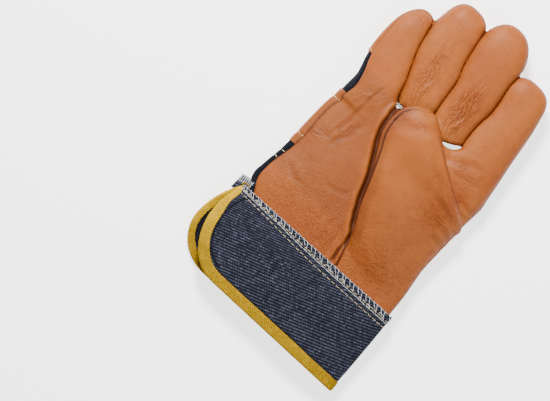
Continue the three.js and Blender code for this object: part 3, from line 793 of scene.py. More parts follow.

# %% [markdown]
# Hides take their dye unevenly, and the colour here drifts wide and soft, so it is a table of round spots,
# each with a reach and an amount. The spots are partly the hide's uneven dye and partly painted light:
# painted shade towards the cuff, under ridges and beside the cracks, and lighter spots where the leather
# faces the lamp. It is stored on the points, because the spots belong to places on this glove and not to
# the hide's own pattern.

# %% Where the hide is darker
TONE_BASE = 0.11
TONE = ("x", "y", "reach", "amount")
TONES = [
    (35, 12, 36, 0.25),
    (-8, 0, 24, 0.20),
    (-42, 12, 26, 0.20),
    (30, 48, 26, 0.05),
    (44, 104, 18, 0.06),
    (-24, 106, 10, 0.25),
    (-14, 34, 20, 0.10),
    (6, 140, 14, 0.12),
    (-6, 98, 16, -0.22),
    (34, 150, 20, -0.08),
    (-60, 138, 18, -0.10),
    (-10, 109, 7, 0.24),
    (-3, 114, 5, 0.14),
    (36, 72, 18, 0.14),
    (-58, 160, 10, 0.20),
    (27, 14, 11, -0.10),
    (-30, 70, 28, -0.09),
    (4, 74, 20, -0.08),
    (-52, 104, 18, -0.08),
    (44, 92, 7, 0.30),
    (52, 102, 9, -0.14),
    (6, 90, 15, -0.14),
    (30, 110, 8, 0.24),
    (-48, 96, 10, -0.12),
    (-30, 120, 8, -0.14),
    (-50, 130, 10, -0.12),
    (58, 86, 7, -0.12),
    (58, 50, 10, -0.12),
]


def tone_at(x, y):
    """How much darker the hide is at a place in plan: 0 is its plain colour."""
    total = TONE_BASE + 0 * x
    for row in TONES:
        tone = dict(zip(TONE, row))
        away = np.hypot(x - tone["x"], y - tone["y"]) / tone["reach"]
        total += tone["amount"] * np.exp(-(away**2) * 1.4)
    return total


print("tone spots:", len(TONES))

# %% [markdown]
# Now every point moves once. Folds, wrinkles, the valleys along the seams and the pull of the stitches are
# added up to one depth, and the point goes in by that depth along its normal. The same values give the
# painted shade that darkens the leather's colour in its hollows, where little light comes in.

# %% Press in the folds, wrinkles and seams
STITCH_ROWS = [48.0, 83.5, 25.0, 31.0]  # the two rows on the strap, then the two on the denim
ROW_PULL = 0.35  # how far a row of stitches draws the material in
normals = normals_of(points, quads)
x, y, z = points.T
facing = smooth_step(0.0, 0.5, normals[:, 2])
is_thumb = smooth_step(-0.2, 0.2, on_thumb)
panel_side = smooth_step(-1.0, 1.0, signed_line(x, y, THUMB_LINE)) * (y < 60)
share_thumb = np.maximum(is_thumb, panel_side)
pressed, dark, fine = fold_depths(x, y, "palm")
thumb_pressed, thumb_fold_shade, thumb_fine = fold_depths(x, y, "thumb")
pressed = (pressed * (1 - share_thumb) + thumb_pressed * share_thumb) * facing
# Painted shade of the folds, taken from the palm or from the thumb
dark = (dark * (1 - share_thumb) + thumb_fold_shade * share_thumb) * facing
fine = np.where(share_thumb[:, None] > 0.5, thumb_fine, fine)
uneven = lattice_noise(x / 16, y / 22, 5) * 0.4 + lattice_noise(x / 7 + 9, y / 9, 6) * 0.13
front, thumb_front, _, panel = seam_values(points)
up = np.tile([0.0, 0.0, 1.0], (len(points), 1))
seam_press, _ = groove(front, normals, up, 0.9, 1.1)
seam_press *= 1 - is_thumb
thumb_press, thumb_away = groove(thumb_front, normals, up, 1.1, 0.8)
ridge = 0.55 * bell(thumb_away - 1.9, 0.9)
thumb_press = (thumb_press - ridge) * is_thumb * smooth_step(26, 50, y)
line_press = 1.0 * bell(panel, 1.0) * facing * (1 - is_thumb) * (y < 30)
behind = smooth_step(0.0, 1.5, -front)
row_press = sum(ROW_PULL * bell(y - row, 1.2) for row in STITCH_ROWS) * behind
total = pressed + uneven * facing + seam_press + thumb_press + line_press + row_press
crack_away, _ = crack_distance(x, y)
# Painted shade along the cracks between the fingers
crack_shade = 0.12 * bell(crack_away, 0.7) * (y > 108) * (1 - is_thumb)
# Painted shade in the thumb's own seam, on the thumb's underside, and on the palm along the thumb's left
# edge
thumb_line = bell(thumb_away, 0.9) * is_thumb * smooth_step(30, 60, y)
thumb_line *= smooth_step(126, 110, y)
under_thumb = smooth_step(0.4, -0.6, thumb_front) * is_thumb * smooth_step(120, 104, y)
under_thumb *= 0.06 + 0.9 * smooth_step(84, 46, y)
thumb_left = columns_at(THUMB_ROW, THUMB, np.clip(y, THUMB[0][0], THUMB[-1][0]))["left"]
from_left = x - thumb_left
beside_thumb = bell(on_thumb, 1.0) + 0.22 * bell(from_left, 4.5) * (1 - is_thumb)
beside_thumb *= smooth_step(12, 4, from_left) * smooth_step(14, 26, y) * smooth_step(122, 108, y)
# Painted shade in the valleys of the seams
seam_shade = seam_press * 0.5 + (thumb_line + line_press) * 0.9
hollow = np.clip(dark / 1.9 + under_thumb + beside_thumb + seam_shade + crack_shade, -0.3, 1.0)
# Painted shade: the hide is darker where it turns down at its sides, and less so on the back
turned_down = bell(normals[:, 2] - 0.15, 0.38)
side_shade = 0.36 * turned_down * (0.15 + 0.85 * smooth_step(-1.5, 0.5, front))
points = points - normals * total[:, None]
print("deepest press:", round(float(total.max()), 2), "highest ridge:", round(float(-total.min()), 2))

# %% [markdown]
# The skin is cut into its real panels. Each seam is a function that is zero on the seam, so a cut
# is the same small step every time: split each triangle whose corners differ in sign, exactly where
# the function is zero. The point's place before pressing travels along, so that the cut runs in the
# bottom of its groove.

# %% Cut a triangle mesh where a function is zero
def cut_where(data, triangles, value):
    """data has a row for each point. Returns more rows, more triangles and the grown value."""
    value = np.where(np.abs(value) < 1e-6, 1e-6, value)
    side = value > 0
    mixed = side[triangles].any(1) & ~side[triangles].all(1)
    whole, split = triangles[~mixed], triangles[mixed]
    # Turn each mixed triangle so that its lone corner comes first
    lone_up = side[split].sum(1) == 1
    lone = np.argmax(side[split] == lone_up[:, None], axis=1)
    order = (lone[:, None] + np.arange(3)) % 3
    a, b, c = np.take_along_axis(split, order, 1).T
    pairs = np.sort(np.vstack([np.stack([a, b], 1), np.stack([a, c], 1)]), axis=1)
    unique, where = np.unique(pairs, axis=0, return_inverse=True)
    where = where.reshape(-1)
    p, q = unique.T
    share = (value[p] / (value[p] - value[q]))[:, None]
    fresh = data[p] * (1 - share) + data[q] * share
    ab = where[: len(a)] + len(data)
    ac = where[len(a) :] + len(data)
    made = np.vstack([whole, np.stack([a, ab, ac], 1), np.stack([ab, b, c], 1), np.stack([ab, c, ac], 1)])
    return np.vstack([data, fresh]), made, np.concatenate([value, np.zeros(len(fresh))])


def side_of(value, triangles):
    """The sign of a cut function on each triangle."""
    return value[triangles].sum(1) > 0


corner_cut = cut_where(np.eye(3), np.array([[0, 1, 2]]), np.array([1.0, -1.0, -1.0]))
print("one triangle with a corner cut off makes", len(corner_cut[1]))

# %% [markdown]
# The hand's skin is sewn from ten panels, and each kind of seam is one cut: the leather's end, the
# main seam, the thumb's panel, the strap and the tip caps. Every triangle then lies in one panel.

# %% Cut the skin into panels
# The data's columns: place now (3), place before pressing (3), painted shade in the hollows (1), place
# among the wrinkles (3) and painted shade on the turned-down sides (1)
data = np.hstack([points, np.stack([x, y, z, hollow], 1), fine, side_shade[:, None]])
triangles = np.vstack([quads[:, [0, 1, 2]], quads[:, [0, 2, 3]]])


def rest_of(rows):
    """The places before pressing."""
    return rows[:, 3:6]


def over_level(level):
    """A function for a cut straight across the glove."""
    return lambda p: p[:, 1] - level


THUMB_FREE = 20.0  # below this the thumb's panel is sewn to the palm along its line


def front_value(p):
    """Above zero on the front."""
    return seam_values(p)[0]


def zone_value(p):
    """Above zero in the thumb's zone: on the thumb itself, or over its panel on the hand."""
    _, _, thumb_here, panel = seam_values(p)
    return np.maximum(thumb_here, panel)


def thumb_front_value(p):
    """Above zero on the thumb's front."""
    _, thumb_front, _, panel = seam_values(p)
    return np.where(p[:, 1] < THUMB_FREE, np.maximum(thumb_front, panel), thumb_front)


FINGER_NAMES = list(FINGERS)
TIP_CAP_FROM = {"little": 123.0, "ring": 148.0, "middle": 158.0, "index": 140.0}


def finger_number(p):
    """0 for the little finger up to 3 for the index: the number of cracks to the point's left."""
    number = np.zeros(len(p), int)
    for crack in CRACKS:
        number += signed_line(p[:, 0], p[:, 1], [*crack["line"], crack["past"]]) > 0
    return number


def over_cap_line(p):
    """Above zero on a finger tip's cap."""
    levels = np.array([TIP_CAP_FROM[name] for name in FINGER_NAMES])
    return p[:, 1] - levels[finger_number(p)]


cuts = [over_level(LEATHER_END), front_value, zone_value, thumb_front_value]
cuts += [over_level(STRAP_FROM), over_level(STRAP_TO), over_cap_line]
for cut in cuts:
    data, triangles, _ = cut_where(data, triangles, cut(rest_of(data)))
centre = rest_of(data)[triangles].mean(1)
inside = centre[:, 1] > LEATHER_END
is_front = front_value(centre) > 0
in_zone = zone_value(centre) > 0
thumb_up = thumb_front_value(centre) > 0
is_cap = over_cap_line(centre) > 0
above_strap = centre[:, 1] > STRAP_TO
number = finger_number(centre)
panels = {
    "palm": is_front & ~in_zone,
    "thumb_front": is_front & in_zone & thumb_up,
    "thumb_back": is_front & in_zone & ~thumb_up,
    "hand_back": ~is_front & (centre[:, 1] < STRAP_FROM),
    "knuckle_strap": ~is_front & (centre[:, 1] > STRAP_FROM) & ~above_strap,
    "finger_backs": ~is_front & above_strap & ~is_cap,
}
for k, name in enumerate(FINGER_NAMES):
    panels["tip_cap_" + name] = ~is_front & above_strap & is_cap & (number == k)
for name, mask in panels.items():
    print(name, int((mask & inside).sum()), "triangles")


# %% [markdown]
# Glove leather is a little over a millimetre thick, and that shows wherever a panel ends. Each panel
# gets a second skin below the first and a rim round its edge. A solidify modifier could do it too,
# but here all panels share one set of normals, so that neighbours still meet at their seams.

# %% Give each panel its thickness
def main_patch(faces):
    """The largest connected patch of the triangles, so that no crumb of a cut is kept."""
    used, local = np.unique(faces, return_inverse=True)
    local = local.reshape(-1, 3)
    label = np.arange(len(used))
    while True:
        low = label[local].min(1)
        fresh = label.copy()
        for k in range(3):
            np.minimum.at(fresh, local[:, k], low)
        fresh = fresh[fresh]
        if (fresh == label).all():
            break
        label = fresh
    face_label = label[local[:, 0]]
    names, counts = np.unique(face_label, return_counts=True)
    return faces[face_label == names[np.argmax(counts)]]


def free_edges(faces):
    """Edges that only one triangle has, in that triangle's direction."""
    pairs = np.vstack([faces[:, [0, 1]], faces[:, [1, 2]], faces[:, [2, 0]]])
    key = np.sort(pairs, axis=1)
    _, where, counts = np.unique(key, axis=0, return_inverse=True, return_counts=True)
    return pairs[counts[where.reshape(-1)] == 1]


def thick_mesh(name, places, faces, normals, wall):
    """A closed shell: the outer skin, the same skin moved in by the wall, and a rim round its edge."""
    used, local = np.unique(faces, return_inverse=True)
    local = local.reshape(-1, 3)
    outer = places[used]
    inner = outer - normals[used] * wall
    rim = free_edges(local)
    count = len(used)
    rim_faces = np.stack([rim[:, 1], rim[:, 0], rim[:, 0] + count, rim[:, 1] + count], axis=1)
    shell_faces = (local, local[:, ::-1] + count, rim_faces)
    corners = np.concatenate([part.reshape(-1) for part in shell_faces])
    sizes = np.concatenate([np.full(2 * len(local), 3), np.full(len(rim_faces), 4)])
    mesh = bpy.data.meshes.new(name)
    mesh.vertices.add(2 * count)
    mesh.vertices.foreach_set("co", in_frame(np.vstack([outer, inner])).astype(np.float32).reshape(-1))
    mesh.loops.add(len(corners))
    mesh.loops.foreach_set("vertex_index", corners.astype(np.int32))
    mesh.polygons.add(len(sizes))
    mesh.polygons.foreach_set("loop_start", (np.cumsum(sizes) - sizes).astype(np.int32))
    mesh.update(calc_edges=True)
    mesh.validate()
    mesh.shade_smooth()
    mark_sharp(mesh, rim, count)
    return mesh, used


def mark_sharp(mesh, rim, count):
    """The rim's two outlines are sharp edges, so that the skin's shading doesn't run round them."""
    wanted = {tuple(sorted(pair)) for pair in np.vstack([rim, rim + count]).tolist()}
    ends = np.zeros(len(mesh.edges) * 2, np.int32)
    mesh.edges.foreach_get("vertices", ends)
    ends = np.sort(ends.reshape(-1, 2), axis=1)
    sharp = np.array([tuple(pair) in wanted for pair in ends.tolist()])
    attribute = mesh.attributes.new("sharp_edge", "BOOLEAN", "EDGE")
    attribute.data.foreach_set("value", sharp)


print("leather:", WALL, "mm thick")

# %% [markdown]
# A finish needs to know how deep a point lies in a fold and how much painted shade it gets there and on a
# turned-down side, and where it lies on the flat cloth. Such numbers are kept on the mesh as attributes,
# which a material can read.

# %% Keep numbers on the points
def store(mesh, name, values):
    """Keeps a number or a vector for each point, or the same for both faces of a shell."""
    faces = len(mesh.vertices) // len(values)
    kept = np.concatenate([values] * faces).astype(np.float32)
    if kept.ndim == 1:
        mesh.attributes.new(name, "FLOAT", "POINT").data.foreach_set("value", kept)
    else:
        mesh.attributes.new(name, "FLOAT_VECTOR", "POINT").data.foreach_set("vector", kept.reshape(-1))


def new_object(name, data):
    """An object in the scene for a mesh, a lamp or a camera."""
    made = bpy.data.objects.new(name, data)
    bpy.context.scene.collection.objects.link(made)
    return made


def new_piece(name, mesh, slot, *nodes):
    """An object for the mesh, which moves with the glove, takes a record's finish and stands for nodes."""
    piece = new_object(name, mesh)
    if nodes:
        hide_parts(*nodes)
    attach(piece, "root")
    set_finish(piece, slot)
    return piece


print("nodes that pieces can stand for:", len(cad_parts))

# %% [markdown]
# The strap and the tip caps are sewn on top of the back, so they stand proud of it by most of their
# own thickness, apart from their ends, which go down into the side seam.

# %% Make the panels
LIFT = 0.8
DENIM_PANELS = ("hand_back", "finger_backs")
skin = data[:, :3]
skin_normals = normals_of(skin, triangles[inside])
rest = rest_of(data)
lift = LIFT * smooth_step(0.2, 3.5, -front_value(rest))
side = np.where(rest[:, 0] < 0, -1.0, 1.0)
cloth_place = np.stack([rest[:, 0] + side * rest[:, 2], rest[:, 1], 0 * side], 1)
for name, mask in panels.items():
    faces = main_patch(triangles[mask & inside])
    on_top = name == "knuckle_strap" or name.startswith("tip_cap")
    places = skin + skin_normals * lift[:, None] if on_top else skin
    mesh, used = thick_mesh(name, places, faces, skin_normals, WALL)
    # Painted shade from the folds, cracks, seams and the thumb
    store(mesh, "hollow", data[used, 6])
    store(mesh, "wrinkle", data[used, 7:10])
    # A painted highlight along the strap's top edge. The tone also carries the painted shade on turned-down
    # sides.
    strap_edge_highlight = 0.9 * bell(rest[used, 1] - STRAP_TO, 0.5) * (name == "knuckle_strap")
    store(mesh, "tone", tone_at(rest[used, 0], rest[used, 1]) + data[used, 10] - strap_edge_highlight)
    store(mesh, "cloth", cloth_place[used])
    slot = "denim" if name in DENIM_PANELS else "leather"
    new_piece(name + "_leather" if slot == "leather" else name + "_denim", mesh, slot, name)
    print(name, "has", len(mesh.polygons), "faces")

# %% [markdown]
# The cuff is a stiff denim tube that is sewn over the wrist and left open along a slit on the
# little finger's side. It is drawn as a whole tube first, and then everything outside its outline
# is cut away: the two round corners, the slit and the hem. The real panel is cut the same way.

# %% Table of the cuff
CUFF = [
    (-80, -97.0, 75.0, 9.8, 8.6, 8.6),
    (-48, -93.5, 73.4, 10.6, 9.6, 9.4),
    (-28, -87.0, 71.9, 11.6, 10.9, 10.4),
    (-19, -80.0, 71.2, 12.1, 11.4, 10.9),
    (-12, -73.2, 70.6, 12.4, 11.6, 11.2),
    (-8, -70.4, 70.3, 12.6, 11.5, 11.4),
    (0, -69.8, 69.6, 12.65, 11.45, 11.45),
    (6, -69.8, 69.2, 12.65, 11.45, 11.45),
]
CUFF_WALL = 1.6
CUFF_SQUARE = 3.0
CUFF_LONG = 77.0
CUFF_STEP = 1.15
TOP_EDGE = (-2.1, 0.044)  # the top edge's height at x = 0, and its slope
HEM = (-67.2, 0.030)
FRONT_CORNER = {"x": -40.0, "y": -26.0, "wide": 32.7, "down": 42.2, "up": 39.0}
BACK_CORNER = {"x": -48.0, "y": -40.0, "wide": 31.0, "down": 28.6, "up": 46.0}
SLIT_END = -9.5
TAPE_WIDTH = 6.8  # the binding's outer leg
print("cuff rows:", len(CUFF))


# %% [markdown]
# The cuff's face is a function of two lengths: the way round it, and the way down from its top
# edge. The tape, the overlocking and the weave all need places on the cuff, and so each can ask for
# them in millimetres of cloth. A little noise gives the face the slack waves of stiff cloth.

# %% The cuff's outer face as a function
def cuff_by_turn(turn, below):
    """Points at a turn of the section, and a distance below the top edge."""
    wide = squarer(np.cos(turn), CUFF_SQUARE)
    tall = squarer(np.sin(turn), CUFF_SQUARE)
    x = 70.0 * wide
    for _ in range(2):
        y = TOP_EDGE[0] + TOP_EDGE[1] * x - below
        cols = columns_at(ROW, CUFF, y)
        x = (cols["left"] + cols["right"]) / 2 + (cols["right"] - cols["left"]) / 2 * wide
    waves = lattice_noise(x / 26 + 4, y / 21, 41) * 0.7 + lattice_noise(x / 9, y / 8 + 2, 42) * 0.16
    z = cols["mid"] + np.where(tall > 0, cols["up"], cols["down"]) * tall
    return np.stack([x, y, z + waves * np.maximum(tall, 0)], axis=-1)


def gone_along(path):
    """The way gone at each point of a path."""
    return np.concatenate([[0], np.cumsum(np.linalg.norm(np.diff(path, axis=0), axis=1))])


# The turn for each millimetre round the section, from the leftmost point over the top
fine_turn = math.pi - np.linspace(0, 2 * math.pi, 4001)
fine = cuff_by_turn(fine_turn, np.full(len(fine_turn), 30.0))
fine_round = gone_along(fine)
CUFF_ROUND = float(fine_round[-1])


def on_cuff(round_mm, below):
    """Points on the cuff at a distance round it and a distance below its top edge, in millimetres."""
    turn = np.interp(np.mod(round_mm, CUFF_ROUND), fine_round, fine_turn)
    return cuff_by_turn(turn, below)


def cuff_normals(round_mm, below):
    """The directions straight out of the cloth."""
    step = 0.4
    across = on_cuff(round_mm + step, below) - on_cuff(round_mm - step, below)
    down = on_cuff(round_mm, below + step) - on_cuff(round_mm, below - step)
    normal = np.cross(down, across)
    return normal / np.linalg.norm(normal, axis=-1, keepdims=True)


print("round the cuff:", round(CUFF_ROUND, 1), "mm")


# %% [markdown]
# The outline is a function that is zero on the cut line, so the tube is cut by the same step as the glove's
# panels.

# %% Cut the cuff to its outline
def inside_outline(x, y, corner):
    """Above zero inside one panel's outline: over the hem, and within the round corner on the left."""
    over_hem = y - HEM[0] - HEM[1] * x
    high = np.where(y < corner["y"], corner["down"], corner["up"])
    reach = np.hypot((x - corner["x"]) / corner["wide"], (y - corner["y"]) / high)
    in_corner = (1 - reach) * corner["wide"]
    return np.where(x > corner["x"], over_hem, np.maximum(in_corner, y - SLIT_END))


def cuff_outline(p):
    """Above zero on the cuff, with its front panel's outline blended into the back panel's."""
    x, y, z = p[:, 0], p[:, 1], p[:, 2]
    cols = columns_at(ROW, CUFF, y)
    front_share = smooth_step(-0.16, 0.16, (z - cols["mid"]) / cols["up"])
    back = inside_outline(x, y, BACK_CORNER)
    return back + (inside_outline(x, y, FRONT_CORNER) - back) * front_share


def shade_inside(mesh, from_edge, x):
    """Painted shade on the inner face beside the slit, kept in the same attribute as the other painted
    shade.
    """
    layer = mesh.attributes["hollow"].data
    values = np.zeros(len(layer), np.float32)
    layer.foreach_get("value", values)
    values[len(from_edge) :] = 0.8 * smooth_step(26, 12, from_edge) * smooth_step(-58, -68, x)
    layer.foreach_set("value", values)


around_count = int(CUFF_ROUND / CUFF_STEP)
row_count = int(CUFF_LONG / CUFF_STEP)
around, below = np.meshgrid(
    np.arange(around_count) * CUFF_ROUND / around_count, np.linspace(0, CUFF_LONG, row_count)
)
LOCKSTITCH_BELOW = 9.4
NEEDLE_BELOW = 5.6
tube = on_cuff(around, below)
# The two straight seams draw the cloth in
sunk = 0.35 * bell(below - LOCKSTITCH_BELOW, 1.3)
sunk += 0.25 * bell(below - NEEDLE_BELOW, 1.2)
tube = tube - cuff_normals(around, below) * sunk[:, :, None]
cuff_quads = tube_faces(row_count, around_count)
cuff_data = np.hstack([tube.reshape(-1, 3), around.reshape(-1, 1), below.reshape(-1, 1)])
cuff_triangles = np.vstack([cuff_quads[:, [0, 1, 2]], cuff_quads[:, [0, 2, 3]]])
whole_cuff = cuff_data[:, :3]
whole_faces = cuff_triangles
cuff_value = cuff_outline(whole_cuff)
cuff_data, cuff_triangles, cuff_value = cut_where(cuff_data, cuff_triangles, cuff_value)
cuff_triangles = main_patch(cuff_triangles[side_of(cuff_value, cuff_triangles)])
cuff_skin = cuff_data[:, :3]
cuff_skin_normals = normals_of(cuff_skin, cuff_triangles)
outward = ((cuff_skin - [0, 0, MID_HEIGHT]) * cuff_skin_normals)[:, 2].sum() > 0
if not outward:
    cuff_triangles = cuff_triangles[:, ::-1]
    cuff_skin_normals = -cuff_skin_normals
mesh, used = thick_mesh("cuff", cuff_skin, cuff_triangles, cuff_skin_normals, CUFF_WALL)
store(mesh, "cloth", np.stack([cuff_data[used, 3], cuff_data[used, 4], 0 * used], 1))
from_edge = cuff_outline(cuff_skin[used])
# Painted shadow along the tape's inner edge.
store(mesh, "hollow", bell(from_edge - TAPE_WIDTH - 0.4, 0.8))
shade_inside(mesh, from_edge, cuff_skin[used, 0])
cuff = new_piece("cuff_denim", mesh, "cuff_denim", "cuff")

# %% [markdown]
# A bound edge is a tape that is folded over the raw edge and sewn through. Its path is the cut edge
# itself, so the binding follows the corners and the slit without further drawing. A cut through
# triangles is a little jagged, so the path's points are spread evenly and smoothed.

# %% The cuff's free edge as a path
def loops_of(pairs):
    """Closed loops of points from directed free edges."""
    after = dict(pairs.tolist())
    loops = []
    while after:
        first, here = next(iter(after.items()))
        loop = [first]
        while here in after:
            loop.append(here)
            here = after.pop(here)
        after.pop(first, None)
        loops.append(np.array(loop[:-1] if loop[-1] == first else loop))
    return loops


def unit(vectors):
    """The same directions with a length of 1."""
    return vectors / np.maximum(np.linalg.norm(vectors, axis=-1, keepdims=True), 1e-9)


def soften(values, times):
    """Evens out values round a closed path."""
    for _ in range(times):
        values = (np.roll(values, 1, 0) + 2 * values + np.roll(values, -1, 0)) / 4
    return values


def even_loop(places, step):
    """The same closed loop with points at even distances, smoothed a little."""
    closed = np.vstack([places, places[:1]])
    gone = gone_along(closed)
    count = int(gone[-1] / step)
    at = np.arange(count) * gone[-1] / count
    made = np.stack([np.interp(at, gone, closed[:, k]) for k in range(3)], axis=1)
    return soften(made, 3), float(gone[-1])


edge_loops = loops_of(free_edges(cuff_triangles))
lowest = [cuff_data[loop, 4].mean() for loop in edge_loops]
binding_path, BINDING_LONG = even_loop(cuff_skin[edge_loops[int(np.argmax(lowest))]], 1.3)
print("edge loops:", [len(loop) for loop in edge_loops], "bound edge:", round(BINDING_LONG), "mm")

# %% [markdown]
# The tape lies on the cuff for its whole width, round the corners too. So from each point of the
# path a walker takes steps of one millimetre inward, and drops onto the cuff after each one.

# %% Walk inward over the cuff
cuff_tree = BVHTree.FromPolygons(whole_cuff.tolist(), whole_faces.tolist())


def nearest_on_cuff(places):
    """The nearest points and outward normals on the whole tube."""
    spots, normals = [], []
    for place in places:
        spot, normal, _, _ = cuff_tree.find_nearest(Vector(place))
        spots.append(tuple(spot))
        normals.append(tuple(normal))
    normals = np.array(normals)
    return np.array(spots), normals if outward else -normals


steps = int(math.ceil(TAPE_WIDTH)) + 1
spot, normal = nearest_on_cuff(binding_path)
normal = unit(soften(normal, 4))
ahead = unit(np.roll(binding_path, -1, 0) - np.roll(binding_path, 1, 0))
inward = unit(np.cross(normal, ahead))
if cuff_outline(spot + inward).mean() < cuff_outline(spot - inward).mean():
    inward = -inward
edge_inward = inward
walk = [(spot, normal)]
for _ in range(steps):
    fresh, fresh_normal = nearest_on_cuff(spot + inward)
    fresh = soften(fresh, 1)
    inward = unit(fresh - spot)
    spot, normal = fresh, unit(soften(fresh_normal, 2))
    walk.append((spot, normal))
walk_spots = np.array([s for s, n in walk])
walk_normals = np.array([n for s, n in walk])
path_count = len(binding_path)
path_y = binding_path[:, 1]
# The tape lies narrower towards the slit's top
tape_share = 1 - 0.08 * smooth_step(-62, -50, path_y) - 0.36 * smooth_step(-32, -16, path_y)


def beside_edge(inset, out):
    """Places along the whole path at a distance in from the edge and out from the cuff's outer face."""
    inset = inset * np.where(inset > 0, tape_share, 1.0)
    low = np.clip(np.floor(inset), 0, steps - 1).astype(int)
    share = (np.maximum(inset, 0) - low)[:, None]
    here = np.arange(path_count)
    place = walk_spots[low, here] * (1 - share) + walk_spots[low + 1, here] * share
    normal = unit(walk_normals[low, here] * (1 - share) + walk_normals[low + 1, here] * share)
    return place + edge_inward * np.minimum(inset, 0)[:, None] + normal * out


print("steps inward:", steps, "from", path_count, "places")

# %% [markdown]
# The tape's section is a narrow hook: an outer leg, a turn round the raw edge and a shorter inner
# leg. Each corner of the hook is carried along the whole path, and the rings are joined into one
# closed band. Its thickness puckers between the stitches and its width wanders, as sewn tape does.

# %% Fold the tape over the edge
TAPE = 0.75  # its thickness
TAPE_INSIDE = 0.6  # the inner leg's share of the outer one's width


def tape_profile():
    """The tape's section: (distance in from the edge, distance out), once round its two faces."""
    top = [(TAPE_WIDTH, 0.05), (TAPE_WIDTH + 0.1, 0.4)]
    top += [(TAPE_WIDTH - 0.3, TAPE), (TAPE_WIDTH - 1.2, TAPE - 0.18)]
    top += [(s, TAPE + 0.12) for s in (4.4, 3.2, 2.0, 0.8)]
    middle = -CUFF_WALL / 2
    radius = CUFF_WALL / 2 + TAPE + 0.1
    half_turn = np.linspace(0, math.pi, 9)
    fold = [(-radius * math.sin(t) * 0.8, middle + radius * math.cos(t)) for t in half_turn]
    bottom = [(s * TAPE_INSIDE, 2 * middle - out) for s, out in reversed(top)]
    inner = [(0.3, -CUFF_WALL - 0.05), (-0.12, -CUFF_WALL - 0.05), (-0.12, 0.05), (0.3, 0.05)]
    return top + fold + bottom + inner


profile = tape_profile()
along = np.arange(path_count) * BINDING_LONG / path_count
pucker = lattice_noise(along / 3.1, 0 * along, 51) * 0.18
pucker += lattice_noise(along / 13, 0 * along + 3, 52) * 0.16
wander = lattice_noise(along / 17, 0 * along + 1, 53) * 0.35
rings = []
cloth = []
gone = 0.0
for k, (inset, out) in enumerate(profile):
    place = beside_edge(inset, out)
    swell = pucker * (1 if out > 0.3 or out < -CUFF_WALL - 0.3 or inset < 0 else 0)
    share_in = max(inset, 0) / TAPE_WIDTH
    place = place + walk_normals[0] * (swell * np.sign(out + CUFF_WALL / 2))[:, None]
    place = place + (beside_edge(inset + 0.6, out) - beside_edge(inset, out)) * (wander * share_in)[:, None]
    rings.append(place)
    if k:
        gone += math.hypot(inset - profile[k - 1][0], out - profile[k - 1][1])
    cloth.append(np.stack([along, np.full(path_count, gone), 0 * along], 1))
rings = np.array(rings)
print("corners of the tape's section:", len(profile))

# %% [markdown]
# The rings close on themselves both ways, along the path and round the section. The weave reads millimetres
# along and across the tape, and the tone says where the yellow gets a painted highlight, towards the top of
# the slit.

# %% Make the tape
def wrapped_mesh(name, grid):
    """A mesh of a grid of points that closes on itself both ways."""
    rows, cols = grid.shape[:2]
    r, c = np.meshgrid(np.arange(rows), np.arange(cols), indexing="ij")
    r2, c2 = (r + 1) % rows, (c + 1) % cols
    faces = np.stack([r * cols + c, r2 * cols + c, r2 * cols + c2, r * cols + c2], axis=-1).reshape(-1, 4)
    mesh = bpy.data.meshes.new(name)
    mesh.from_pydata(in_frame(grid.reshape(-1, 3)).tolist(), [], faces.tolist())
    return mesh


def face_outward(mesh):
    """Turns a closed mesh's faces outward and shades them smooth."""
    shape = bmesh.new()
    shape.from_mesh(mesh)
    bmesh.ops.recalc_face_normals(shape, faces=shape.faces)
    shape.to_mesh(mesh)
    shape.free()
    mesh.shade_smooth()


mesh = wrapped_mesh("cuff_binding", rings)
face_outward(mesh)
store(mesh, "cloth", np.array(cloth).reshape(-1, 3))
# Painted highlight: the tape is paler towards the top of the slit.
store(mesh, "tone", 0.85 * smooth_step(-60, -34, rings[:, :, 1].reshape(-1)))
new_piece("cuff_binding_tape", mesh, "binding", "cuff_binding")
print("tape faces:", len(mesh.polygons))

# %% [markdown]
# Thread is the finest thing on the glove. Each visible stitch is a short bent tube that dives into
# the cloth at both ends, and all the stitches of one thread are one mesh built from arrays. A strand
# is about half a millimetre thick on the real glove, and is drawn slightly thicker so that it shows.

# %% Tools for threads
THREAD = 0.27  # radius in millimetres


def thread_tubes(paths, ups, radius, sides=6):
    """Points and faces of one closed tube for each path. ups are the directions away from the cloth."""
    all_points, all_faces = [], []
    start = 0
    turn = np.linspace(0, 2 * math.pi, sides, endpoint=False)
    for path, up in zip(paths, ups):
        ahead = unit(np.gradient(path, axis=0))
        sideways = unit(np.cross(ahead, up))
        lifted = np.cross(sideways, ahead)
        size = np.full(len(path), radius)
        size[[0, -1]] = radius * 0.6
        ring = sideways[:, None] * np.cos(turn)[None, :, None]
        ring = ring + lifted[:, None] * np.sin(turn)[None, :, None]
        ring = path[:, None] + ring * size[:, None, None]
        faces = tube_faces(len(path), sides) + start
        last = start + (len(path) - 1) * sides
        all_points.append(ring.reshape(-1, 3))
        all_faces.extend(faces.tolist())
        all_faces.append(list(range(start, start + sides)))
        all_faces.append(list(range(last + sides - 1, last - 1, -1)))
        start += len(path) * sides
    return np.vstack(all_points), all_faces


def thread_piece(name, stitches, slot, radius=THREAD):
    """One object for all the stitches of a thread. stitches are pairs of a path and its ups."""
    points, faces = thread_tubes([s[0] for s in stitches], [s[1] for s in stitches], radius)
    mesh = bpy.data.meshes.new(name)
    mesh.from_pydata(in_frame(points).tolist(), [], faces)
    face_outward(mesh)
    piece = new_piece(name, mesh, slot)
    print(name, "has", len(stitches), "stitches,", len(mesh.polygons), "faces")
    return piece


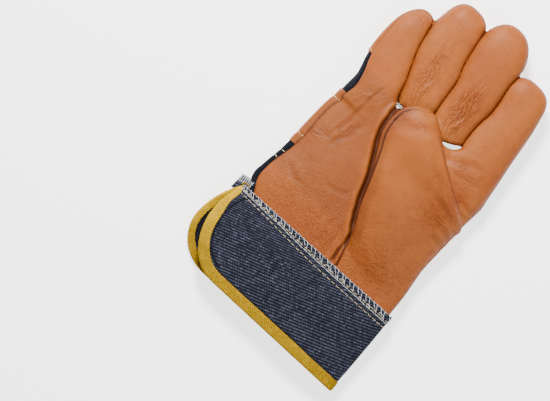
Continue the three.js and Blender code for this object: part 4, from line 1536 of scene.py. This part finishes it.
def row_of_stitches(places, normals, pitch, gap, high, seed, wander=0.12):
    """Running stitches along a line on the cloth, each one from hole to hole."""
    gone = gone_along(places)
    chance = np.random.default_rng(seed)
    stitches = []
    for first in np.arange(0.3, gone[-1] - pitch, pitch):
        reach = pitch - gap + chance.uniform(-0.25, 0.2)
        at = first + np.linspace(0, 1, 6) * reach
        path = np.stack([np.interp(at, gone, places[:, k]) for k in range(3)], axis=1)
        up = unit(np.stack([np.interp(at, gone, normals[:, k]) for k in range(3)], axis=1))
        rise = high * np.array([-0.9, 0.35, 0.9, 1.0, 0.35, -0.9])
        slant = unit(np.cross(np.gradient(path, axis=0), up)) * chance.uniform(-wander, wander)
        stitches.append((path + up * rise[:, None] + slant * np.linspace(-1, 1, 6)[:, None], up))
    return stitches


print("thread:", 2 * THREAD, "mm thick")

# %% [markdown]
# The cuff's top edge is overlocked: two looper threads wrap the raw edge, one needle thread holds
# them in a straight line, and slanting strands run between the edge and that line. A tan lockstitch
# just below sews the cuff to the wrist.

# %% Overlock the top edge
OVERLOCK_PITCH = 4.25
SEAM_SIDE = 2.0  # the overlocking starts this far round from the cuff's leftmost point
rng = np.random.default_rng(7)


def squeeze_at(round_mm):
    """The stitches lie closer to the edge at the left end of the front."""
    return 0.60 + 0.40 * smooth_step(2, 105, round_mm)


def cuff_strand(rounds, belows, rises):
    """A strand over the cuff through these places, each one lifted off the cloth."""
    rounds, belows = np.array(rounds, float), np.array(belows, float)
    up = cuff_normals(rounds, belows)
    return on_cuff(rounds, belows) + up * np.array(rises)[:, None], up


def bent(values, count=7):
    """A few values as a smooth run of count values."""
    return curve_through(np.linspace(0, 1, len(values)), values, np.linspace(0, 1, count))


ladder, cream = [], []
count = int((CUFF_ROUND - 2 * SEAM_SIDE) / OVERLOCK_PITCH)
for k in range(count):
    here = SEAM_SIDE + k * OVERLOCK_PITCH + rng.uniform(-0.6, 0.6)
    tight = squeeze_at(here)
    long_one = k % 2 == 1
    reach = (3.7 if long_one else 4.5) + rng.uniform(-0.9, 0.9)
    deep = (5.6 if long_one else 3.9) * tight + rng.uniform(-0.25, 0.25)
    rounds = bent([here, here + reach * 0.42 + rng.uniform(-0.3, 0.3), here + reach])
    rises = [-0.5, 0.2, 0.36, 0.4, 0.4, 0.34, 0.1]
    ladder.append(cuff_strand(rounds, bent([-0.5, deep * 0.45, deep]), rises))
    if rng.uniform() < 0.3:
        back = bent([here + reach * 0.2, here + reach * 0.75, here + reach + 0.9])
        ladder.append(cuff_strand(back, bent([deep * 0.95, deep * 0.72, deep * 1.08]), rises))
    slide = rng.uniform(-0.4, 0.4)
    cream.append(cuff_strand(
        bent([here + 0.5 + slide, here + 2.0 + slide, here + 3.8 + slide]),
        bent([4.7 * tight, 4.5 * tight + rng.uniform(-0.3, 0.1), 4.9 * tight]),
        [0.0, 0.25, 0.36, 0.4, 0.36, 0.25, 0.0],
    ))
run = np.arange(SEAM_SIDE, CUFF_ROUND - SEAM_SIDE, 0.8)
edge_below = 0.05 + 0.22 * np.abs(np.sin(run * math.pi / OVERLOCK_PITCH))
edge_run = cuff_strand(run, edge_below, 0.18 + 0 * run)
needle_below = 6.0 * squeeze_at(run) + lattice_noise(run / 6, 0 * run, 61) * 0.22
needle_line = cuff_strand(run, needle_below, 0.05 + 0 * run)
thread_piece("overlock_ladder", ladder, "white_thread", THREAD * 0.78)
thread_piece("overlock_cream", cream, "tan_thread", THREAD * 0.85)
needle = row_of_stitches(*needle_line, OVERLOCK_PITCH, 0.1, 0.32, 62, 0.1)
thread_piece("overlock_needle_line", needle, "white_thread", THREAD * 0.9)
edge = row_of_stitches(*edge_run, OVERLOCK_PITCH, 0.1, 0.30, 63, 0.2)
thread_piece("overlock_edge", edge, "white_thread", THREAD * 0.55)
lock_line = cuff_strand(run, LOCKSTITCH_BELOW * squeeze_at(run), -0.3 + 0 * run)
lock = row_of_stitches(*lock_line, 4.3, 0.3, 0.42, 64, 0.14)
thread_piece("cuff_lockstitch", lock, "tan_thread", THREAD * 0.68)

# %% [markdown]
# The back panel of the cuff ends in a corner that sticks out past the front panel, beside the slit.
# It is plain denim with the same overlocking, only closer, because the machine slows down at a corner.

# %% Corner of the back panel
CORNER = {"x": (-64.6, -75.6), "y": (-11.0, 1.2), "z": (16.7, 8.0)}
CORNER_NEEDLE = 0.55  # where the needle line lies, as a share of the corner's height


def on_corner(out, high):
    """Places on the corner: out runs away from the wrist and high up to its edge, both from 0 to 1."""
    x = CORNER["x"][0] + (CORNER["x"][1] - CORNER["x"][0]) * out
    y = CORNER["y"][0] + (CORNER["y"][1] - CORNER["y"][0]) * high - 1.6 * out**3
    z = CORNER["z"][0] + (CORNER["z"][1] - CORNER["z"][0]) * out**1.2 + 0.3 * np.sin(high * 3.0)
    return np.stack([x, y, z + 0 * x], axis=-1)


cells = 16
out, high = np.meshgrid(np.linspace(0, 1, cells), np.linspace(0, 1, cells), indexing="ij")
corner_places = on_corner(out.reshape(-1), high.reshape(-1))
i, j = np.meshgrid(np.arange(cells - 1), np.arange(cells - 1), indexing="ij")
first = (i * cells + j).reshape(-1)
corner_faces = np.vstack([
    np.stack([first, first + 1, first + cells + 1], axis=1),
    np.stack([first, first + cells + 1, first + cells], axis=1),
])
corner_normals = normals_of(corner_places, corner_faces)
if corner_normals[:, 2].sum() < 0:
    corner_faces = corner_faces[:, ::-1]
    corner_normals = -corner_normals
mesh, used = thick_mesh("cuff_back_corner", corner_places, corner_faces, corner_normals, 1.2)
store(mesh, "cloth", corner_places[used] * [1, -1, 0])
store(mesh, "hollow", 0 * used)
new_piece("cuff_back_corner", mesh, "cuff_denim")
corner_up = unit(corner_normals.mean(0))


def corner_strand(outs, highs, rises):
    path = on_corner(np.array(outs, float), np.array(highs, float)) + corner_up * np.array(rises)[:, None]
    return path, np.tile(corner_up, (len(path), 1))


corner_threads = []
rises = [-0.7, 0.2, 0.4, 0.42, 0.4, 0.3, 0.1]
for here in np.arange(0.08, 0.93, 0.13):
    slant = rng.uniform(0.02, 0.14)
    highs = bent([1.02, 0.8, CORNER_NEEDLE])
    corner_threads.append(corner_strand(bent([here, here + slant * 0.5, here + slant]), highs, rises))
    if rng.uniform() < 0.6:
        corner_threads.append(corner_strand(bent([here + 0.1, here + 0.04, here]), highs, rises))
line = np.linspace(0.04, 0.98, 24)
for level, high_mm in ((CORNER_NEEDLE, 0.3), (0.985, 0.35)):
    run_path, run_up = corner_strand(line, level + 0 * line, 0.05 + 0 * line)
    corner_threads += row_of_stitches(run_path, run_up, 2.6, 0.1, high_mm, 66, 0.15)
thread_piece("corner_overlock", corner_threads, "white_thread", THREAD * 0.8)

# %% [markdown]
# The back is sewn with running stitches: two rows on the strap, two on the denim below it and one
# round each tip cap. Each row is a slice through the finished skin, so its stitches lie exactly on it.

# %% Stitch the back
def slice_of(places, normals, faces, level):
    """Where faces cross y = level, in order from the left edge under the hand to the right edge."""
    pairs = edges_of(faces)
    high = places[pairs, 1] - level
    pairs = pairs[high[:, 0] * high[:, 1] < 0]
    high = places[pairs, 1] - level
    share = (high[:, 0] / (high[:, 0] - high[:, 1]))[:, None]
    spots = places[pairs[:, 0]] * (1 - share) + places[pairs[:, 1]] * share
    ups = unit(normals[pairs[:, 0]] * (1 - share) + normals[pairs[:, 1]] * share)
    middle = (spots.min(0) + spots.max(0)) / 2
    height = spots[:, 2].max()
    turn = np.mod(np.arctan2(spots[:, 2] - height, spots[:, 0] - middle[0]), 2 * math.pi)
    order = np.argsort(turn)
    spots, ups = spots[order], ups[order]
    keep = np.concatenate([[True], np.linalg.norm(np.diff(spots, axis=0), axis=1) > 0.02])
    return spots[keep], ups[keep]


back_stitches = []
rows_on = {"knuckle_strap": STITCH_ROWS[:2], "hand_back": STITCH_ROWS[2:]}
for name in FINGER_NAMES:
    rows_on["tip_cap_" + name] = [TIP_CAP_FROM[name] + 1.6]
for name, levels in rows_on.items():
    faces = main_patch(triangles[panels[name] & inside])
    proud = lift if name != "hand_back" else 0 * lift
    places = skin + skin_normals * proud[:, None]
    for k, level in enumerate(levels):
        spots, ups = slice_of(places, skin_normals, faces, level)
        back_stitches += row_of_stitches(spots, ups, 4.0, 0.8, 0.34, 70 + k)
thread_piece("back_stitches", back_stitches, "tan_thread", THREAD)

# %% [markdown]
# One small tuft of white overlock thread shows at the foot of the crack beside the little finger,
# where the seams of two fingers meet.

# %% Tuft at the crotch
TUFT = {"x": -31.0, "y": 110.0, "z": 23.0, "long": 3.8, "strands": 9}
tuft = []
for k in range(TUFT["strands"]):
    lean = -1.1 + 2.2 * k / (TUFT["strands"] - 1)
    first = np.array([TUFT["x"] - 1.8 + 0.32 * k, TUFT["y"] + rng.uniform(-0.6, 0.6), TUFT["z"] - 2.2])
    last = first + [TUFT["long"] * math.sin(lean) * 0.6 + 1.2, TUFT["long"] * 0.35 * math.cos(lean), -0.6]
    middle = (first + last) / 2 + [0, rng.uniform(-0.3, 0.3), 1.6]
    path = np.stack([bent([first[c], middle[c], last[c]]) for c in range(3)], axis=1)
    tuft.append((path, np.tile([0.0, 0.3, 1.0], (7, 1))))
thread_piece("crotch_tuft", tuft, "white_thread", THREAD * 1.1)

# %% [markdown]
# The binding's cut end is turned into a small loop at the top of the slit and sewn down over the
# overlocking, so that it can't fray there.

# %% Loop at the end of the tape
LOOP = {"x": -68.4, "y": -4.6, "z": 15.9, "long": 2.4, "wide": 1.25, "turn": 8.0}
turn = np.linspace(0, 2 * math.pi, 25)
lean = math.radians(LOOP["turn"])
long_way = LOOP["long"] * np.cos(turn)
short_way = LOOP["wide"] * np.sin(turn)
loop_path = np.stack([
    LOOP["x"] + long_way * math.cos(lean) - short_way * math.sin(lean),
    LOOP["y"] + long_way * math.sin(lean) + short_way * math.cos(lean),
    LOOP["z"] + 0.6 * long_way,
], axis=1)
thread_piece("tape_end_loop", [(loop_path, np.tile([0.0, 0.0, 1.0], (25, 1)))], "binding", 0.42)

# %% [markdown]
# The finishes come next. Every pattern is a small set of nodes on millimetre coordinates, because
# a weave or a grain has a real size. Colours are written as the hex values that a paint chart gives,
# and one function turns them to the linear numbers that the renderer works with.

# %% Tools for materials
def linear(colour):
    """An sRGB hex colour as linear red, green, blue and alpha."""
    parts = [int(colour[k : k + 2], 16) / 255 for k in (1, 3, 5)]
    return [p / 12.92 if p <= 0.04045 else ((p + 0.055) / 1.055) ** 2.4 for p in parts] + [1.0]


def put(node, values):
    """Sets a node's inputs. A value that is a socket is linked, and a node by its first output."""
    for key, value in values.items():
        if isinstance(value, bpy.types.Node):
            value = value.outputs[0]
        if isinstance(value, bpy.types.NodeSocket):
            node.id_data.links.new(value, node.inputs[key])
        else:
            node.inputs[key].default_value = value


def add(tree, kind, settings, inputs):
    """Adds a node: settings are its own options, inputs its values, or the nodes that feed it."""
    made = tree.nodes.new(kind)
    for key, value in settings.items():
        setattr(made, key, value)
    put(made, inputs)
    return made


def start_material(name):
    """An empty material with its shader, and its node tree."""
    material = bpy.data.materials.new(name)
    material.use_nodes = True
    tree = material.node_tree
    return material, tree, tree.nodes["Principled BSDF"]


def object_mm(tree):
    """A place on the object in millimetres."""
    place = add(tree, "ShaderNodeTexCoord", {}, {}).outputs["Object"]
    return add(tree, "ShaderNodeVectorMath", {"operation": "SCALE"}, {0: place, "Scale": 1000.0})


def soiled(tree, base, cloth, spread, low):
    """A colour that is softly darker and lighter in patches, as cloth soils and fades."""
    soil = add(tree, "ShaderNodeTexNoise", {}, {"Vector": cloth, "Scale": 1 / spread, "Detail": 3.0})
    shade = add(
        tree, "ShaderNodeMapRange", {},
        {"Value": soil, "From Min": 0.3, "From Max": 0.7, "To Min": low, "To Max": 1.08},
    )
    return add(tree, "ShaderNodeVectorMath", {"operation": "SCALE"}, {0: base, "Scale": shade})


MIX = {"data_type": "RGBA"}
TIMES = {"operation": "MULTIPLY"}
SMOOTH = {"interpolation_type": "SMOOTHSTEP"}
print("half grey in linear numbers:", [round(v, 3) for v in linear("#808080")])

# %% [markdown]
# Full-grain cowhide keeps the outermost skin: pores and fine pebbles about 0.8 mm apart, a satin
# finish from its dressing, and a colour that is a little uneven because hides take dye unevenly.
# Its folds and the lines of its wrinkles get painted shade, darker and redder.

# %% Full-grain cowhide
HIDE = "#8C481A"
HIDE_PALE = "#945220"
HIDE_DEEP = "#6A2C08"
# The colour of the painted shade in folds.
FOLD_SHADE = "#2E0E04"
PEBBLE = 1.35  # spacing in millimetres, coarser than the real 0.8 so that it shows at this distance


def full_grain_cowhide():
    """The hide: dye and pebbles as colour, painted shade in creases and folds, and pebbles and creases
    again as relief.
    """
    material, tree, shader = start_material("full_grain_cowhide")
    mm = object_mm(tree)
    dye = add(
        tree, "ShaderNodeTexNoise", {}, {"Vector": mm, "Scale": 1 / 34, "Detail": 2.0, "Roughness": 0.5}
    )
    patch = add(
        tree, "ShaderNodeTexNoise", {}, {"Vector": mm, "Scale": 1 / 5, "Detail": 3.0, "Roughness": 0.6}
    )
    dye_share = add(tree, "ShaderNodeMapRange", {}, {"Value": dye, "From Min": 0.35, "From Max": 0.65})
    base = add(
        tree, "ShaderNodeMix", MIX, {0: dye_share, 6: linear(HIDE), 7: linear(HIDE_PALE)}
    ).outputs[2]
    patch_share = add(
        tree, "ShaderNodeMapRange", {},
        {"Value": patch, "From Min": 0.45, "From Max": 0.75, "To Max": 0.24},
    )
    # The tone holds the dye spots, painted shade on turned-down sides and in some spots, and painted light
    # in lighter spots.
    tone = add(tree, "ShaderNodeAttribute", {"attribute_name": "tone"}, {}).outputs["Fac"]
    coarse = add(
        tree, "ShaderNodeMapRange", {},
        {"Value": tone, "From Min": 0.1, "From Max": 0.5, "To Min": 0.14, "To Max": 1.0},
    )
    pebbles = add(
        tree, "ShaderNodeTexVoronoi", {"feature": "SMOOTH_F1"},
        {"Vector": mm, "Scale": 1 / PEBBLE, "Smoothness": 0.5},
    )
    between = add(
        tree, "ShaderNodeMapRange", {},
        {"Value": pebbles, "From Min": 0.4, "From Max": 0.62, "To Max": 0.34},
    )
    wrinkle = add(tree, "ShaderNodeAttribute", {"attribute_name": "wrinkle"}, {}).outputs["Vector"]
    among = add(tree, "ShaderNodeSeparateXYZ", {}, {0: wrinkle}).outputs
    stretched = add(tree, "ShaderNodeVectorMath", TIMES, {0: wrinkle, 1: (1 / 8, 1 / 1.6, 0.0)})
    lines = add(
        tree, "ShaderNodeTexNoise", {},
        {"Vector": stretched, "Scale": 1.0, "Detail": 2.0, "Distortion": 0.6},
    )
    # Painted shade: thin dark lines along the wrinkles' creases.
    off = add(tree, "ShaderNodeMath", {"operation": "SUBTRACT"}, {0: lines, 1: 0.5})
    off = add(tree, "ShaderNodeMath", {"operation": "ABSOLUTE"}, {0: off})
    crease = add(
        tree, "ShaderNodeMapRange", {}, {"Value": off, "From Max": 0.06, "To Min": 1.05, "To Max": 0.0}
    )
    crease = add(tree, "ShaderNodeMath", TIMES, {0: crease, 1: among[2]})
    deep_share = add(tree, "ShaderNodeMath", {"operation": "ADD"}, {0: patch_share, 1: tone})
    deep_share = add(
        tree, "ShaderNodeMath", {"operation": "MULTIPLY_ADD"}, {0: between, 1: coarse, 2: deep_share}
    )
    deep_share = add(
        tree, "ShaderNodeMath", {"operation": "ADD", "use_clamp": True}, {0: deep_share, 1: crease}
    )
    base = add(tree, "ShaderNodeMix", MIX, {0: deep_share, 6: base, 7: linear(HIDE_DEEP)}).outputs[2]
    # Painted shade in folds, cracks, seams and under the thumb.
    hollow = add(tree, "ShaderNodeAttribute", {"attribute_name": "hollow"}, {}).outputs["Fac"]
    fold_shade_share = add(
        tree, "ShaderNodeMapRange", {},
        {"Value": hollow, "From Min": 0.12, "From Max": 0.95, "To Max": 0.85},
    )
    base = add(tree, "ShaderNodeMix", MIX, {0: fold_shade_share, 6: base, 7: linear(FOLD_SHADE)}).outputs[2]
    pores = add(tree, "ShaderNodeTexNoise", {}, {"Vector": mm, "Scale": 1 / 0.7, "Detail": 2.0})
    skin_noise = add(
        tree, "ShaderNodeTexNoise", {}, {"Vector": mm, "Scale": 1 / 3.4, "Detail": 4.0, "Roughness": 0.62}
    )
    rough = add(
        tree, "ShaderNodeMapRange", {},
        {"Value": skin_noise, "From Min": 0.3, "From Max": 0.7, "To Min": 0.5, "To Max": 0.61},
    )
    grain = add(tree, "ShaderNodeBump", {}, {"Strength": coarse, "Distance": 0.0005, "Height": pebbles})
    fine = add(
        tree, "ShaderNodeBump", {},
        {"Strength": 0.3, "Distance": 0.00012, "Height": pores, "Normal": grain},
    )
    soft = add(
        tree, "ShaderNodeBump", {},
        {"Strength": 0.2, "Distance": 0.0006, "Height": skin_noise, "Normal": fine},
    )
    raised = add(tree, "ShaderNodeMath", TIMES, {0: lines, 1: among[2]})
    creased = add(
        tree, "ShaderNodeBump", {},
        {"Strength": 1.0, "Distance": 0.0026, "Height": raised, "Normal": soft},
    )
    put(shader, {"Base Color": base, "Roughness": rough, "Normal": creased, "IOR": 1.48})
    put(shader, {"Specular IOR Level": 0.2})
    return material


leather_finish = full_grain_cowhide()
print("leather nodes:", len(leather_finish.node_tree.nodes))

# %% [markdown]
# Denim is a twill: dark blue warp threads pass over the pale weft in steps, so its face shows short
# pale dashes in slanting rows. The cuff's cloth is coarse and worn, the hand's is fine and almost
# plain navy. Both use one pattern with other numbers. Real twill rows lie about 1 mm apart. That is
# too fine to show in the render, so the cuff's are drawn 2.1 mm apart.

# %% Twill
def twill(tree, pitch, dash, turn, seed):
    """How pale the twill is at a place, from 0 to 1. Pitch and dash are in millimetres of cloth."""
    cloth = add(tree, "ShaderNodeAttribute", {"attribute_name": "cloth"}, {}).outputs["Vector"]
    wobble = add(tree, "ShaderNodeTexNoise", {}, {"Vector": cloth, "Scale": 1 / 6.0, "Detail": 2.0})
    moved = add(
        tree, "ShaderNodeVectorMath", {"operation": "MULTIPLY_ADD"},
        {0: wobble.outputs["Color"], 1: (0.35, 0.35, 0.0), 2: cloth},
    )
    turned = add(
        tree, "ShaderNodeVectorRotate", {"rotation_type": "Z_AXIS"},
        {"Vector": moved, "Angle": math.radians(-turn)},
    )
    parts = add(tree, "ShaderNodeSeparateXYZ", {}, {0: turned})
    across = add(tree, "ShaderNodeMath", {"operation": "DIVIDE"}, {0: parts.outputs[1], 1: pitch})
    row = add(tree, "ShaderNodeMath", {"operation": "FLOOR"}, {0: across})
    in_row = add(tree, "ShaderNodeMath", {"operation": "FRACT"}, {0: across})
    shift = add(tree, "ShaderNodeTexWhiteNoise", {"noise_dimensions": "1D"}, {"W": row})
    length = add(tree, "ShaderNodeMath", {"operation": "DIVIDE"}, {0: parts.outputs[0], 1: dash})
    step = add(tree, "ShaderNodeMath", {"operation": "MULTIPLY_ADD"}, {0: row, 1: 0.478, 2: length})
    step = add(tree, "ShaderNodeMath", {"operation": "MULTIPLY_ADD"}, {0: shift, 1: 0.3, 2: step})
    cell = add(tree, "ShaderNodeMath", {"operation": "FLOOR"}, {0: step})
    in_cell = add(tree, "ShaderNodeMath", {"operation": "FRACT"}, {0: step})
    key = add(tree, "ShaderNodeCombineXYZ", {}, {0: row, 1: cell, 2: seed})
    chance = add(tree, "ShaderNodeTexWhiteNoise", {"noise_dimensions": "3D"}, {"Vector": key})
    in_row = add(tree, "ShaderNodeMath", {"operation": "PINGPONG"}, {0: in_row, 1: 0.5})
    wide = add(tree, "ShaderNodeMapRange", SMOOTH, {"Value": in_row, "From Min": 0.08, "From Max": 0.40})
    in_cell = add(tree, "ShaderNodeMath", {"operation": "PINGPONG"}, {0: in_cell, 1: 0.5})
    long = add(tree, "ShaderNodeMapRange", SMOOTH, {"Value": in_cell, "From Max": 0.3, "To Min": 0.35})
    spread = add(tree, "ShaderNodeMapRange", {}, {"Value": chance, "To Min": 0.35})
    fleck = add(
        tree, "ShaderNodeMapRange", {},
        {"Value": chance, "From Min": 0.92, "From Max": 0.96, "To Max": 0.3},
    )
    spread = add(tree, "ShaderNodeMath", {"operation": "ADD"}, {0: spread, 1: fleck})
    shape = add(tree, "ShaderNodeMath", TIMES, {0: wide, 1: long})
    return cloth, shape, add(tree, "ShaderNodeMath", TIMES, {0: shape, 1: spread})


print("twill: shared by the denims and the tape")

# %% [markdown]
# A denim mixes its dark warp and pale weft by the twill's paleness, adds a few pale specks of lint
# and fades softly from place to place. The weave stands up as a bump, with the yarn's fuzz on it.

# %% Two denims
def denim(name, dark, pale, pitch, dash, turn, share, height):
    """A denim from its two colours, its twill, how pale its face is and how high its threads stand."""
    material, tree, shader = start_material(name)
    cloth, shape, paleness = twill(tree, pitch, dash, turn, 1.0)
    strength = add(tree, "ShaderNodeMath", TIMES, {0: paleness, 1: share})
    grid = add(tree, "ShaderNodeVectorMath", {"operation": "SNAP"}, {0: cloth, 1: (0.9, 0.9, 1.0)})
    speck = add(tree, "ShaderNodeTexWhiteNoise", {"noise_dimensions": "3D"}, {"Vector": grid})
    speck = add(
        tree, "ShaderNodeMapRange", {},
        {"Value": speck, "From Min": 0.965, "From Max": 0.985, "To Max": share * 0.5},
    )
    strength = add(
        tree, "ShaderNodeMath", {"operation": "ADD", "use_clamp": True}, {0: strength, 1: speck}
    )
    base = add(tree, "ShaderNodeMix", MIX, {0: strength, 6: linear(dark), 7: linear(pale)}).outputs[2]
    base = soiled(tree, base, cloth, 14, 0.92)
    yarn = add(tree, "ShaderNodeTexNoise", {}, {"Vector": cloth, "Scale": 1 / 0.5, "Detail": 1.0})
    weave = add(tree, "ShaderNodeBump", {}, {"Strength": 0.6, "Distance": height, "Height": shape})
    fuzz = add(
        tree, "ShaderNodeBump", {}, {"Strength": 0.3, "Distance": height, "Height": yarn, "Normal": weave}
    )
    # Painted shade in the cracks and seams, along the tape's inner edge and inside the slit.
    hollow = add(tree, "ShaderNodeAttribute", {"attribute_name": "hollow"}, {}).outputs["Fac"]
    base = add(tree, "ShaderNodeMix", MIX, {0: hollow, 6: base, 7: linear(dark)}).outputs[2]
    put(shader, {"Base Color": base, "Roughness": 0.9, "Normal": fuzz, "IOR": 1.46})
    put(shader, {"Specular IOR Level": 0.15})
    return material


cuff_finish = denim("slate_twill_denim", "#06070E", "#51566B", 2.1, 1.73, -21.0, 0.62, 0.0003)
navy_finish = denim("navy_twill_denim", "#04060C", "#1E2434", 1.1, 1.4, -35.0, 0.6, 0.0002)
print("denims:", cuff_finish.name, navy_finish.name)

# %% [markdown]
# The binding is a cotton tape woven in a fine diagonal twill and dyed yellow. A needle went through
# it along its inner edge, and each hole shows as a small dark dot.

# %% Cotton binding tape
TAPE_YELLOW = "#82620C"
TAPE_PALE = "#B08C0E"
TAPE_HIGHLIGHT = "#BA9408"
TAPE_HOLE = "#4A3206"
HOLE_PITCH = 5.2
HOLE_INSET = 3.6


def woven_cotton_tape():
    """The yellow tape, with its row of needle holes."""
    material, tree, shader = start_material("woven_cotton_tape")
    cloth, shape, paleness = twill(tree, 1.3, 2.6, 52.0, 2.0)
    base = add(
        tree, "ShaderNodeMix", MIX, {0: paleness, 6: linear(TAPE_YELLOW), 7: linear(TAPE_PALE)}
    ).outputs[2]
    # Painted highlight: a paler yellow where the tone is high, towards the top of the slit.
    tone = add(tree, "ShaderNodeAttribute", {"attribute_name": "tone"}, {}).outputs["Fac"]
    base = add(tree, "ShaderNodeMix", MIX, {0: tone, 6: base, 7: linear(TAPE_HIGHLIGHT)}).outputs[2]
    parts = add(tree, "ShaderNodeSeparateXYZ", {}, {0: cloth})
    step = add(tree, "ShaderNodeMath", {"operation": "DIVIDE"}, {0: parts.outputs[0], 1: HOLE_PITCH})
    near = add(tree, "ShaderNodeMath", {"operation": "PINGPONG"}, {0: step, 1: 0.5})
    along = add(tree, "ShaderNodeMath", TIMES, {0: near, 1: HOLE_PITCH})
    across = add(tree, "ShaderNodeMath", {"operation": "SUBTRACT"}, {0: parts.outputs[1], 1: HOLE_INSET})
    spot = add(tree, "ShaderNodeCombineXYZ", {}, {0: along, 1: across})
    away = add(tree, "ShaderNodeVectorMath", {"operation": "LENGTH"}, {0: spot}).outputs["Value"]
    hole = add(
        tree, "ShaderNodeMapRange", SMOOTH,
        {"Value": away, "From Min": 0.25, "From Max": 0.5, "To Min": 0.75, "To Max": 0.0},
    )
    base = add(tree, "ShaderNodeMix", MIX, {0: hole, 6: base, 7: linear(TAPE_HOLE)}).outputs[2]
    base = soiled(tree, base, cloth, 9, 0.86)
    bump = add(tree, "ShaderNodeBump", {}, {"Strength": 0.7, "Distance": 0.0003, "Height": shape})
    put(shader, {"Base Color": base, "Roughness": 0.9, "Normal": bump, "Specular IOR Level": 0.02})
    return material


tape_finish = woven_cotton_tape()
print("tape nodes:", len(tape_finish.node_tree.nodes))

# %% [markdown]
# The threads are spun polyester, twisted from two plies. The twist is a fine slanting line along
# the strand, and the fibre has a little more shine than cotton.

# %% Spun thread
def spun_polyester(name, colour, shadow):
    """A thread of one colour, darker between its plies."""
    material, tree, shader = start_material(name)
    mm = object_mm(tree)
    twist = add(
        tree, "ShaderNodeTexWave", {"bands_direction": "DIAGONAL"},
        {"Vector": mm, "Scale": 0.45, "Distortion": 1.5},
    )
    share = add(tree, "ShaderNodeMapRange", {}, {"Value": twist.outputs["Fac"], "To Max": 0.55})
    base = add(tree, "ShaderNodeMix", MIX, {0: share, 6: linear(colour), 7: linear(shadow)}).outputs[2]
    bump = add(
        tree, "ShaderNodeBump", {}, {"Strength": 0.4, "Distance": 0.0001, "Height": twist.outputs["Fac"]}
    )
    put(shader, {"Base Color": base, "Roughness": 0.6, "Normal": bump, "IOR": 1.5})
    return material


finishes = {
    "leather": leather_finish,
    "denim": navy_finish,
    "cuff_denim": cuff_finish,
    "binding": tape_finish,
    "tan_thread": spun_polyester("tan_polyester_thread", "#D0BE96", "#8A7650"),
    "white_thread": spun_polyester("white_polyester_thread", "#C6C8CC", "#74767C"),
}
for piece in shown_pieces():
    if piece.get("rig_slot") in finishes:
        piece.data.materials.append(finishes[piece["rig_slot"]])
print("finishes:", len(finishes))

# %% [markdown]
# The photograph was taken from straight above and from far away. So the camera looks down from four
# metres, and it is turned until the glove points the same way. Its lens follows from the scale of
# the photograph, so that both pictures show the same stretch of table.

# %% Camera
MM_PER_PIXEL = 0.70
IMAGE = (550, 401)
DRAWING_PIXEL = (320.3, 249.2)  # where the drawing's origin lies in the photograph
TURN = math.atan2(0.7009, 0.7133)  # the glove's Y axis points up and to the right in the photograph
LENS_DISTANCE = 4.0
PALM_PLANE = 0.018  # the height at which the photograph's scale was measured
SENSOR = 36


def photo_to_drawing(px, py):
    """A pixel of the photograph, as millimetres of the drawing in the palm's plane."""
    dx = (px - DRAWING_PIXEL[0]) * MM_PER_PIXEL
    dy = (py - DRAWING_PIXEL[1]) * MM_PER_PIXEL
    return np.array([dx * math.cos(TURN) + dy * math.sin(TURN), dx * math.sin(TURN) - dy * math.cos(TURN)])


centre_xy = photo_to_drawing(IMAGE[0] / 2, IMAGE[1] / 2)
eye = in_frame([centre_xy[0], centre_xy[1], 0])
camera_data = bpy.data.cameras.new("camera")
camera = new_object("camera", camera_data)
camera.location = (eye[0], eye[1], LENS_DISTANCE)
camera.rotation_euler = (0, 0, TURN)
camera_data.sensor_width = SENSOR
camera_data.lens = SENSOR * (LENS_DISTANCE - PALM_PLANE) / (IMAGE[0] * MM_PER_PIXEL * MM)
bpy.context.scene.camera = camera
print("lens:", round(camera_data.lens, 1), "mm, looking down from", LENS_DISTANCE, "m")

# %% [markdown]
# The main lamp stands beyond the top of the picture, where the photograph's highlights point, and a
# weaker one at the lower right opens the shadows. The table glows a little, as a lit white one does.

# %% Light and floor
def area_light(name, place, aim, size, watts, colour):
    """A round lamp at a place that points at another."""
    data_block = bpy.data.lights.new(name, "AREA")
    data_block.shape = "DISK"
    data_block.size = size
    data_block.energy = watts
    data_block.color = colour
    lamp = new_object(name, data_block)
    lamp.location = place
    lamp.rotation_euler = (Vector(aim) - Vector(place)).to_track_quat("-Z", "Y").to_euler()
    return lamp


area_light("key", (-0.5, 0.5, 0.85), (0, 0.0, 0), 0.3, 36, (1, 0.97, 0.93))
area_light("fill", (0.9, -0.3, 1.3), (0, 0, 0), 1.0, 14, (0.95, 0.97, 1))
FLOOR_GLOW = 2.0  # a lit sweep: the photograph's table is almost pure white
world = bpy.data.worlds.new("studio")
bpy.context.scene.world = world
world.use_nodes = True
put(world.node_tree.nodes["Background"], {"Color": (1, 1, 1, 1), "Strength": 0.25})

bpy.ops.mesh.primitive_plane_add(size=3, location=(0, 0, -0.0002))
floor = bpy.context.object
floor.name = "floor"
paint, _, coat = start_material("floor_paint")
put(coat, {"Base Color": (0.9, 0.9, 0.9, 1), "Roughness": 0.9})
put(coat, {"Emission Color": (1, 1, 1, 1), "Emission Strength": FLOOR_GLOW})
floor.data.materials.append(paint)
print("lights:", len(bpy.data.lights), "floor glow:", FLOOR_GLOW)
